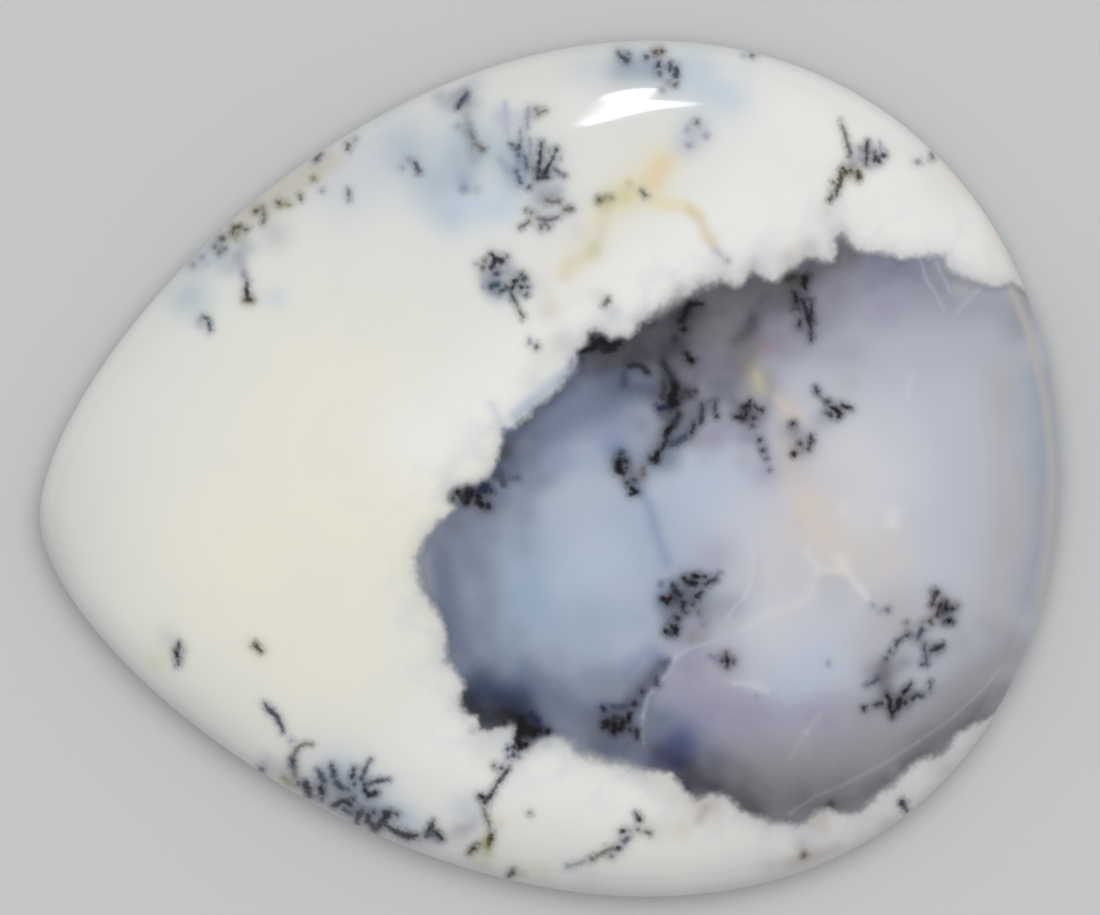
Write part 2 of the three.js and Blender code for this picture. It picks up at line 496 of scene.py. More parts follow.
WINDOW_RIGHT_CLUSTERS = (
    ("black", (733.5, 416.5, 1.3), (739, 416.6, 2.9), (743, 418.5, 2.3)),
    ("black", (742.5, 408, 1.5), (748.4, 406.5, 3.1), (750, 400, 0.9)),
    ("black", (747, 411, 1.5), (745, 417, 1.9)),
    ("ink", (754.1, 418.4, 2.1)),
    ("slate", (752, 425.4, 1.9)),
    ("ink", (754, 405, 0.7), (757, 409, 1.1), (761, 409.5, 2.1)),
    ("ink", (759.5, 440, 1.5)),
    ("ink", (763.2, 450, 1.8)),
    ("slate", (766.8, 458.8, 1.3)),
    ("plum", (770, 470, 1)),
    ("ink", (793, 423.4, 2.5)),
    ("ink", (800, 444, 1.6)),
    ("black", (794, 453.6, 2.5)),
    ("ink", (811, 436, 1.9), (811.6, 441, 2.1), (808.5, 449, 1.5)),
    ("black", (815.6, 387.5, 1.1), (816.6, 391, 2.1)),
    ("smoke", (818, 394.5, 0.7), (826.8, 401.4, 1.5)),
    ("ink", (827.4, 401.8, 1.5)),
    ("black", (832, 407.5, 1.7), (836.5, 410, 3.7), (839.5, 413.4, 3.1), (838.3, 417.4, 1.9)),
    ("ink", (826, 413, 1.5), (832, 415.4, 2.1)),
    ("black", (842, 405.5, 1.7), (846.6, 407.6, 2.3), (850.8, 408.4, 1.5)),
)
WINDOW_LEFT_CLUSTER = (
    ("black", (458, 492.4, 3)),
    ("umber", (453, 498.4, 2.2)),
    ("black", (461.6, 497, 2.9)),
    ("black", (466.2, 493.8, 3.2), (467.2, 489, 1.6)),
    ("black", (472, 491.2, 2.9), (470, 495.8, 3), (466.7, 502.5, 3.2)),
    ("navy", (480, 490.7, 3.6), (485, 486, 4.8)),
    ("navy", (490.8, 491.2, 2.6)),
    ("black", (485, 491.5, 2.4)),
    ("black", (478.8, 496.5, 3.6), (477.8, 501.6, 3.6), (482.2, 504.8, 3.4)),
    ("black", (488.4, 504, 1.8), (488.6, 507, 2.5)),
    ("slate", (499, 473.4, 4.6), (503.5, 483.8, 3.8)),
    ("slate", (495, 476.3, 3)),
    ("storm", (505, 478, 2), (518, 477.5, 2.6)),
)
WINDOW_LOW_FERN = (
    ("black", (684, 578.5, 2.6), (688.4, 581.9, 3.6), (694.5, 582.8, 3.6)),
    ("black", (694.6, 576, 3.2), (699, 576, 2.2)),
    ("ink", (705.2, 576.6, 2.1)),
    ("ink", (705.6, 584.4, 1.9), (711.4, 581, 2.1), (715.2, 579, 2.1)),
    ("plum", (715.5, 578, 1.2), (719.6, 573.2, 1)),
    ("ink", (673, 585, 3), (675.6, 591, 3.2), (680, 595.6, 2.9)),
    ("slate blue", (661.4, 584, 3.1)),
    ("black", (663, 598.4, 2.9), (666.8, 600.8, 3.5), (671.4, 597, 2.2)),
    ("ink", (683.4, 602.5, 3.1), (682.8, 607.5, 2.2)),
    ("ink", (697, 595.7, 3.1), (701.6, 591.4, 1.7)),
    ("soot", (692.7, 603.8, 2.2)),
    ("ink", (685.5, 612.7, 1.6)),
    ("smoke", (698.5, 612.7, 2.1)),
    ("ink", (677, 617.6, 3.1)),
    ("black", (670.8, 625.2, 1.6), (675.2, 628.6, 3.6), (675.6, 633.2, 2.4)),
    ("black", (665.4, 631.4, 2.6)),
    ("ink", (670, 634, 1.6)),
    ("dim mauve", (702.9, 624.3, 1.7)),
    ("dim mauve", (711, 656.4, 2.2), (719, 660, 1.9)),
    ("ink", (722.5, 660.5, 1.9)),
    ("black", (726, 653.6, 1.1), (727.3, 659, 1.9), (726.8, 666, 1.6)),
    ("soot", (733.6, 662, 1.7)),
    ("storm", (663.7, 665.6, 3.1), (667.7, 661.8, 1.9)),
    ("slate", (656, 679, 2.9), (657, 684, 2.5)),
    ("navy", (642, 691.6, 2.2)),
)
WINDOW_FOOT_FERN = (
    ("navy", (634, 703.6, 3.2)),
    ("slate", (626, 706, 3.6), (619.8, 707.4, 3.2), (613, 706.8, 2.8)),
    ("navy", (603.7, 708.2, 3.2)),
    ("black", (629.7, 714.3, 3.2), (628.6, 720.5, 2.9)),
    ("ink", (615.2, 716.6, 2.8)),
    ("black", (606, 723, 4), (604, 727, 2.2)),
    ("black", (607.8, 724.8, 3.2)),
    ("black", (614.4, 724.6, 4.6), (613.7, 731.6, 2.8)),
    ("black", (619, 729.6, 3.7), (622.8, 725.8, 3.2), (622.5, 719.8, 2.3)),
    ("ink", (630.5, 729.6, 2)),
    ("ink", (636.2, 730.4, 2.7), (637, 736.5, 2.5)),
)
WINDOW_RIGHT_RING = (
    ("ink", (936.6, 592.4, 2.4)),
    ("ash", (931.8, 590, 1)),
    ("rust", (935.6, 594.5, 1.8), (932.4, 604.8, 1.8)),
    ("rust", (941, 603.9, 1.8), (937.2, 615.2, 1.7)),
    ("black", (946, 601.6, 1.6), (946, 606.8, 1.9)),
    ("black", (946.2, 608.7, 2.8)),
    ("ink", (942.4, 612.5, 1.7)),
    ("ink", (952, 608.7, 2.2)),
    ("ash", (957.7, 605, 2.1)),
    ("black", (949.1, 621, 3.4)),
    ("ink", (944.3, 621.2, 1.6)),
    ("ash", (950, 616.4, 1.1)),
    ("slate", (953.4, 622.6, 1.2)),
    ("umber", (930, 621.1, 2), (931.8, 624, 1.2)),
    ("slate", (921.8, 629.5, 2.8), (918.4, 637.2, 1.7)),
    ("ash", (922.3, 622.1, 1.6)),
    ("ash", (907, 623, 1.5)),
    ("slate", (908.4, 634.5, 1.8), (903, 637.4, 1.5), (897.4, 641.2, 2.2), (895.5, 647, 1.3)),
    ("slate", (890.2, 651.7, 2.1)),
    ("slate", (886.4, 658.4, 1.9)),
    ("slate", (877.8, 679, 2.2), (872.5, 682.4, 1.3), (866.3, 685.7, 0.9)),
    ("black", (864, 708.8, 2.3)),
    ("ink", (876.4, 705.3, 2), (882, 702.5, 1.6)),
    ("black", (887, 696, 2.1), (890.7, 701.5, 2.7), (889.7, 707.2, 2.7), (891.6, 712, 2), (892, 718, 0.6)),
    ("black", (899.3, 700.6, 3.8), (897.4, 708, 2.7), (892.4, 712.6, 2.1)),
    ("black", (905, 703.4, 2.2)),
    ("black", (904.2, 692.6, 2.5), (908.8, 686.4, 1.7), (910.8, 683.3, 1.1)),
    ("ink", (912.7, 698.6, 2.4), (916.5, 695, 2), (921.3, 696.2, 2)),
    ("slate", (930, 681.5, 1), (930, 690, 1)),
    ("slate", (924.2, 645.1, 0.8), (926, 659.4, 2.2), (926.6, 664.2, 1.7)),
    ("slate", (921.8, 665.1, 1.7)),
    ("ink", (931.8, 650.3, 2), (937, 648, 3.4), (942.4, 645.1, 2.4)),
    ("smoke", (887.8, 609.7, 1.9)),
    ("mist", (881.6, 611, 1.1)),
    ("mist", (873, 605.8, 1.9)),
    ("mist", (828.2, 663, 1.7)),
    ("mist", (756, 696.5, 2.1)),
)
LOW_LEFT_FERN = (
    ("slate", (265, 704, 1.8), (270.5, 710.8, 3), (277.5, 717.6, 2.6), (281, 725, 2), (283, 730.8, 1.4)),
    ("ash", (311.4, 744.6, 1.6), (305, 744.4, 2.1), (299.5, 745.6, 2.1), (295.4, 751.4, 2.1),
     (293, 757, 2.2)),
    ("mist", (291, 740.6, 1.8)),
    ("slate", (292.4, 760.5, 3.8), (292.8, 765, 3.6)),
    ("ash", (293.8, 769, 2.4), (294.8, 776, 1.8)),
    ("olive", (284, 778.6, 2.6), (289, 782, 2.6)),
    ("slate", (298.5, 784, 2.2)),
    ("teal", (354.5, 784, 2)),
    ("slate", (322, 799, 2)),
    ("slate", (318.5, 770, 1.9), (321, 775, 3.2), (323.4, 780.4, 2.8)),
    ("ink", (320.4, 788, 3), (322, 792, 3.8)),
    ("slate", (332, 766, 2.4), (334.4, 775, 3.4)),
    ("teal", (336.6, 782, 2.8), (341.5, 788, 2.8)),
    ("ink", (305.4, 784, 3.6), (307.6, 789, 4.4), (309.2, 794.8, 3.4)),
    ("ink", (354, 769, 1.6), (353, 774, 2.6), (351.8, 777.6, 2)),
    ("slate", (370.6, 759.6, 0.9), (368, 764, 1.1), (364.6, 770.6, 2.1), (361.4, 778.6, 2.2)),
    ("slate", (389.5, 779.8, 0.9), (383.6, 780.4, 2.2), (375.4, 781.6, 2.6), (369, 784, 2)),
    ("ink", (364.6, 786, 2.4), (365, 791, 2.4), (369, 795.2, 3.2), (375.6, 792.8, 3.2)),
    ("storm", (347.4, 789.7, 2.6)),
    ("ink", (334.6, 805.2, 3), (339, 803, 3.4), (344, 801.2, 2.5), (351, 805, 2.6)),
    ("teal", (353.2, 798.6, 2.2)),
    ("ink", (358.8, 813, 3.2), (357.4, 819, 2.8), (356.6, 824, 2.2)),
    ("slate", (362, 810, 2.2)),
    ("ink", (368, 816.2, 3.2), (367.8, 821, 2.8)),
    ("ink", (372.6, 824.6, 3.2), (374, 831.6, 3)),
    ("slate", (373.8, 811.8, 2.4)),
    ("ink", (389, 813.6, 3.4), (383, 820.6, 3.4), (377, 827.6, 3)),
    ("ink", (385, 812.6, 2.6)),
    ("slate", (396.6, 814.2, 2.6)),
    ("ink", (381.6, 823, 2), (388, 827, 2.4), (394, 830, 3), (401, 834, 3.8), (409, 836, 3.9),
     (417, 836, 2)),
    ("ink", (432.4, 822.4, 2), (431.4, 825.6, 2.3), (427.4, 832.6, 1.9)),
    ("ink", (432.6, 830, 2), (436.6, 832.6, 2.6), (441.6, 838.6, 2.4)),
    ("slate", (426, 835.6, 1.6), (438, 835.6, 1.6)),
    ("slate", (344.6, 809.6, 2.8), (350.4, 813, 2.6)),
    ("slate", (261.5, 770, 2.6)),
)
NOSE_SPECKS = (
    ("slate", (179, 643.6, 1.7), (177.8, 648, 1.5)),
    ("black", (176.6, 651, 1.9), (177.2, 656, 1.9)),
    ("slate", (178.6, 660.5, 1.6), (177.8, 665, 1.6)),
    ("mist", (183.5, 650, 1.2)),
    ("ash", (254.6, 643.6, 1.8)),
    ("umber", (256.5, 646.4, 1.7), (260.4, 650.6, 2.2)),
)
FOOT_SPRIG = (
    ("black", (521.6, 720.4, 4.6), (521.4, 730.6, 5), (517.6, 738.6, 3.4), (520.6, 746.2, 5)),
    ("black", (525.8, 743.4, 4)),
    ("black", (522.5, 737, 3.3)),
    ("ink", (504.6, 722.6, 2.8)),
    ("ink", (514, 747, 2.8)),
    ("black", (524, 728, 4.4), (533, 732.4, 4.6), (539, 730, 2.8)),
    ("navy", (531, 715, 4), (536.6, 722, 3.4)),
    ("black", (547.2, 731.8, 3.4)),
    ("slate", (508.4, 749, 2.8)),
    ("slate", (513.5, 755, 2.9)),
    ("plum", (508.5, 757, 2)),
    ("ash", (518.6, 757, 1.7)),
    ("ash", (494.1, 765.3, 1.9)),
    ("slate", (501.2, 768.4, 2.5)),
    ("ink", (509.4, 767.3, 1.4), (504, 774.5, 2.4), (500.5, 780.6, 2.2), (497.1, 783.7, 1),
     (493, 790.8, 1.1)),
    ("ink", (491, 795, 1.9), (486, 799, 2.5), (479.8, 796.4, 2.9)),
    ("ink", (486, 802, 2)),
    ("ash", (484, 809.2, 1.4), (485.4, 815.3, 2), (489, 822.4, 2.2), (490, 828.6, 1.2)),
    ("umber", (491.8, 835, 2.4), (490, 839.5, 3.4), (488.6, 844, 2.2)),
    ("ash", (479, 843.8, 1.6)),
    ("umber", (473.8, 848.2, 2.4), (469.8, 853, 2.2)),
    ("ash", (529.8, 813.3, 1.2)),
    ("umber", (513, 871.6, 2.8), (509, 876, 2.2)),
)
LOW_SPRIG = (
    ("ink", (618, 848, 3)),
    ("ash", (612.3, 848.6, 2), (606.6, 850, 2.3), (601.5, 854, 2.4), (597, 856.2, 1.9)),
    ("ash", (591.3, 858.8, 2.6)),
    ("mist", (584.2, 862, 2), (576.6, 864.6, 1.6)),
    ("mist", (574, 865, 1.8), (567, 866.6, 2.4)),
    ("ash", (611.2, 856.3, 2.2)),
    ("plum", (627.5, 838.3, 2.4), (624.5, 840.8, 2.4)),
    ("moss", (622.8, 831.4, 2.6)),
    ("ink", (638.9, 818.8, 3), (636.3, 813.4, 1.2)),
    ("ash", (638, 829.4, 2.1)),
    ("mist", (631, 831.4, 1.8)),
    ("ash", (649, 833, 2.5), (645.5, 832, 1.3)),
    ("ink", (902, 803, 3.6), (907, 811, 2)),
    ("umber", (804, 855, 2.4)),
)
RIM_MARKS = (
    ("umber", (256.4, 210.8, 2.3)),
    ("ash", (262.3, 207.8, 1.2), (264.3, 216.7, 1.8), (262.5, 223, 1.3)),
    ("umber", (278.6, 203.3, 2.3)),
    ("olive", (281, 203.6, 1.9), (289, 204.8, 1.9)),
    ("ash", (299.8, 194.8, 1.4), (300.8, 199.5, 1.5)),
    ("umber", (234, 227.2, 2.2), (239.6, 227, 2.2)),
    ("ash", (246, 229.5, 2.3)),
    ("umber", (232.6, 232.5, 2)),
    ("olive", (238, 232.5, 3), (235.5, 237, 2.6)),
    ("umber", (222.7, 238.4, 2.5)),
    ("ash", (214.8, 246.4, 2.2)),
    ("ash", (223.7, 248.3, 2.1)),
    ("ash", (219.8, 252.3, 1.9)),
    ("mist", (218.5, 245, 2.8)),
    ("mist", (202, 257.2, 2.5)),
    ("haze", (205.9, 263.2, 2)),
    ("mist", (193, 264.5, 2.4)),
    ("mist", (243.5, 274, 2.2), (246.6, 281, 1.2)),
    ("ink", (247, 282.5, 1), (246.5, 291.5, 2.2), (247.9, 298.3, 2.1)),
    ("umber", (248, 299, 1.6), (251.9, 300.2, 1.8)),
    ("olive", (244, 301.2, 1.2)),
    ("teal", (204.6, 317.6, 1.9), (207.8, 319.5, 1.7), (209.6, 324, 1.7), (209.9, 330.4, 1.2)),
    ("haze", (202, 326.4, 1.5)),
    ("ash", (348.4, 145.4, 2.8), (347.8, 149, 1.8)),
    ("mist", (355, 139.7, 1.8)),
    ("slate", (319.7, 154, 1.8), (315.8, 159.7, 1.9)),
    ("olive", (313.9, 178.4, 2.6)),
    ("mist", (322, 190.4, 1.8)),
    ("ash", (348.4, 189.4, 0.7), (348.4, 195.1, 1.5), (349.3, 200, 0.8)),
    ("olive", (600.3, 199.6, 2.6), (606, 197.5, 1.4)),
    ("umber", (599, 199.8, 2.5)),
    ("olive", (611, 197.4, 2.2)),
    ("ash", (641.5, 190.5, 1.5), (645.5, 195.5, 1.8)),
    ("haze", (716, 250, 0.6), (722, 255, 0.6)),
    ("mist", (728, 261, 1)),
    ("mist", (562, 174, 2)),
    ("ash", (568.2, 209.2, 2.6)),
)
DENDRITES = (
    TOP_LEFT_SPRIG + TOP_FERN + LEFT_FERN + HIGH_FERN + RIGHT_FERN + WINDOW_TOP_FRINGE + WINDOW_TOP_SPRAY
    + WINDOW_CENTRE_FERN + WINDOW_RIGHT_CLUSTERS + WINDOW_LEFT_CLUSTER + WINDOW_LOW_FERN + WINDOW_FOOT_FERN
    + WINDOW_RIGHT_RING + LOW_LEFT_FERN + NOSE_SPECKS + FOOT_SPRIG + LOW_SPRIG + RIM_MARKS
)

# Clouds of colour in the white and in the window, painted one over the other, mostly broad ones first.
# Each is a colour, a strength and a chain of x, y and reach.
WHITE_CLOUDS = (
    ("chalk", 0.9, (40, 520, 90)),
    ("chalk", 0.6, (180, 720, 60), (420, 870, 60), (640, 890, 55), (860, 850, 50)),
    ("cream", 1.0, (250, 560, 120), (390, 500, 120)),
    ("cream", 0.8, (330, 400, 110)),
    ("cream", 0.7, (330, 660, 80)),
    ("snow", 0.9, (430, 440, 60), (560, 340, 55), (650, 270, 55), (770, 200, 60)),
    ("snow", 0.9, (790, 110, 55), (860, 130, 60), (900, 215, 60), (950, 240, 40)),
    ("snow", 0.7, (440, 740, 45), (560, 790, 45), (680, 810, 40)),
    ("cool white", 0.9, (345, 185, 38), (400, 150, 46)),
    ("frost", 0.7, (405, 152, 24)),
    ("frost", 0.95, (440, 185, 30)),
    ("frost", 0.8, (468, 140, 28), (518, 165, 30)),
    ("ice", 0.8, (466, 205, 26), (500, 205, 22)),
    ("dull blue", 0.4, (522, 165, 20), (516, 180, 14)),
    ("haze", 0.5, (505, 120, 12), (527, 118, 8)),
    ("cool white", 0.6, (540, 190, 18), (555, 205, 20)),
    ("cool white", 0.7, (590, 72, 26)),
    ("pale blue", 0.7, (632, 64, 20), (650, 68, 16)),
    ("ice", 0.8, (690, 75, 30), (728, 92, 26)),
    ("frost", 0.7, (215, 252, 20)),
    ("frost", 0.7, (190, 298, 22)),
    ("ice", 0.5, (276, 298, 12)),
    ("pale blue", 0.8, (338, 782, 30), (372, 806, 26)),
    ("pale blue", 0.8, (405, 820, 15)),
    ("mist", 0.8, (330, 790, 20), (366, 812, 16)),
    ("haze", 0.6, (696, 131, 16)),
    ("mist", 0.55, (238, 256, 7), (244, 272, 5)),
    ("mist", 0.6, (466, 116, 6), (474, 160, 7)),
    ("dull blue", 0.8, (464, 188, 4.5)),
    ("mist", 0.5, (477, 190, 5)),
    ("dull blue", 0.5, (509, 170, 7), (500, 160, 4)),
    ("haze", 0.6, (487, 276, 8), (499, 297, 9)),
    ("lilac", 0.7, (578, 232, 12)),
    ("warm grey", 0.9, (250, 214, 13), (330, 160, 13)),
    ("shell", 0.8, (955, 165, 14), (1002, 250, 14)),
    ("straw", 0.35, (664, 160, 24), (644, 186, 26), (608, 210, 22), (590, 240, 20), (568, 266, 16)),
    ("straw", 0.6, (660, 164, 14), (650, 182, 17), (630, 192, 17)),
    ("amber", 0.4, (654, 180, 11), (664, 164, 9)),
    ("ochre", 0.6, (624, 196, 11)),
    ("ochre", 0.5, (606, 204, 9)),
    ("rose tan", 0.7, (629, 184, 5)),
    ("straw", 0.7, (655, 202, 8), (684, 206, 8), (697, 214, 7)),
    ("tan", 0.6, (690, 210, 5.5), (700, 219, 6.5), (706, 234, 6), (714, 247, 4.5)),
    ("warm grey", 0.5, (716, 252, 5), (726, 262, 6)),
    ("tan", 0.45, (606, 206, 8), (603, 224, 8), (598, 240, 8)),
    ("sage", 0.7, (594, 250, 8)),
    ("tan", 0.45, (588, 256, 9), (571, 264, 9), (564, 276, 8)),
    ("straw", 0.35, (552, 300, 8), (549, 312, 6)),
    ("sage", 0.4, (827, 212, 6)),
    ("sage", 0.3, (155, 662, 12)),
    ("moss stain", 0.9, (487, 852, 6), (486, 843, 7)),
    ("moss stain", 0.7, (288, 782, 6)),
    ("rose tan", 0.3, (500, 822, 7)),
    ("dim rose", 0.35, (886, 824, 8)),
    ("rose tan", 0.35, (824, 829, 7)),
    ("iron", 0.4, (461, 830, 7)),
    ("olive", 0.5, (524, 874, 5)),
    ("pale blue", 0.8, (516, 415, 7), (546, 389, 8), (572, 368, 6)),
    ("mist", 0.45, (802, 842, 9)),
    ("chalk", 0.55, (560, 346, 14), (544, 360, 13), (530, 378, 12)),
    ("chalk", 0.55, (484, 750, 14), (500, 738, 14)),
    ("warm pearl", 0.5, (640, 776, 12), (672, 796, 13), (716, 820, 14)),
    ("chalk", 0.5, (789, 258, 10), (694, 284, 10), (676, 294, 9)),
    ("mist", 0.6, (453, 96, 6), (466, 89, 6), (466, 104, 6)),
    ("mist", 0.4, (853, 162, 7), (870, 152, 9)),
    ("mist", 0.5, (281, 772, 8), (296, 783, 8)),
    ("haze", 0.6, (497, 277, 8), (510, 266, 8)),
    ("mist", 0.4, (243, 243, 7)),
    ("taupe", 0.75, (790, 865, 7), (806, 860, 8), (820, 854, 8), (837, 847, 6)),
    ("taupe", 0.5, (699, 820, 6), (705, 808, 5)),
    ("mist", 0.5, (404, 839, 6), (421, 843, 6), (438, 842, 6)),
    ("mist", 0.4, (456, 832, 6), (470, 828, 6)),
    ("dull blue", 0.5, (620, 70, 14), (646, 70, 13)),
    # Painted highlight: a soft glow round the softbox's mirror image.
    ("snow", 0.5, (578, 104, 20)),
    ("snow", 0.4, (760, 80, 26), (730, 70, 20)),
    ("haze", 0.45, (690, 142, 12)),
    ("mist", 0.7, (544, 199, 12), (556, 192, 9)),
    ("chalk", 0.6, (540, 287, 14)),
    ("chalk", 0.6, (597, 296, 9)),
    ("tan", 0.4, (712, 240, 9)),
    ("mist", 0.5, (485, 279, 7), (492, 292, 7)),
    ("mist", 0.4, (541, 192, 8)),
    ("mist", 0.5, (440, 98, 8)),
    ("moss stain", 0.5, (484, 865, 10)),
    ("dull blue", 0.55, (465, 177, 13)),
    ("warm pearl", 0.7, (807, 247, 12)),
    ("pale stone", 0.55, (564, 341, 13)),
    ("haze", 0.55, (463, 808, 14)),
    ("mist", 0.5, (266, 764, 10)),
    ("mist", 0.6, (508, 272, 7)),
    ("pewter", 0.5, (323, 798, 12)),
    ("taupe", 0.5, (818, 827, 12)),
    ("taupe", 0.4, (772, 870, 14)),
    ("warm grey", 0.6, (682, 828, 15)),
    ("mist", 0.4, (472, 731, 5)),
    ("mist", 0.4, (449, 105, 9), (474, 104, 9)),
    ("haze", 0.5, (476, 84, 9)),
    ("mist", 0.35, (249, 248, 9), (229, 268, 10)),
    ("warm pearl", 0.5, (547, 311, 12)),
    ("taupe", 0.35, (943, 771, 10)),
    ("taupe", 0.2, (588, 883, 11)),
    ("rose ash", 0.5, (789, 257, 9)),
    ("mist", 0.5, (871, 166, 6)),
    ("taupe", 0.4, (713, 806, 12)),
    ("steel", 0.6, (494, 284, 9)),
    ("cool grey", 0.7, (458, 834, 11)),
    ("haze", 0.5, (755, 261, 7)),
    ("ash", 0.3, (219, 241, 5)),
    ("mist", 0.35, (613, 313, 9)),
    ("steel", 0.55, (464, 189, 6)),
    ("moss stain", 0.25, (481, 864, 12)),
    ("sky", 0.45, (448, 218, 16)),
    ("ochre", 0.3, (541, 877, 12)),
    ("warm grey", 0.4, (541, 877, 12)),
    ("haze", 0.5, (501, 115, 9)),
    ("mist", 0.45, (200, 322, 6)),
    ("haze", 0.35, (684, 146, 14)),
    ("cool grey", 0.6, (275, 234, 16)),
    ("mist", 0.4, (475, 822, 11)),
    ("haze", 0.4, (812, 246, 9)),
    ("warm grey", 0.5, (656, 829, 14)),
    ("lake", 0.35, (457, 158, 14)),
    ("rose ash", 0.6, (823, 816, 6)),
    ("pewter", 0.4, (680, 290, 7)),
    ("mist", 0.4, (547, 744, 7)),
    ("haze", 0.4, (703, 279, 6)),
    # Painted light: the white brighter along the upper right rim, which faces the light.
    ("snow", 0.9, (968, 216, 18), (976, 246, 16)),
    # Painted shade: a soft grey band along the lower-left and lower rim, where the dome turns away from the
    # light.
    ("cool grey", 0.7, (28, 524, 22), (60, 601, 22), (134, 687, 22), (241, 773, 22), (375, 846, 22)),
    ("cool grey", 0.75, (375, 846, 22), (526, 894, 22), (684, 905, 22), (812, 878, 22), (912, 822, 22),
     (986, 744, 22)),
    ("mist", 0.35, (194, 266, 10)),
    ("cool grey", 0.4, (168, 637, 12)),
    ("haze", 0.35, (491, 404, 4.5), (498, 416, 4.5), (503, 428, 4.5)),
)
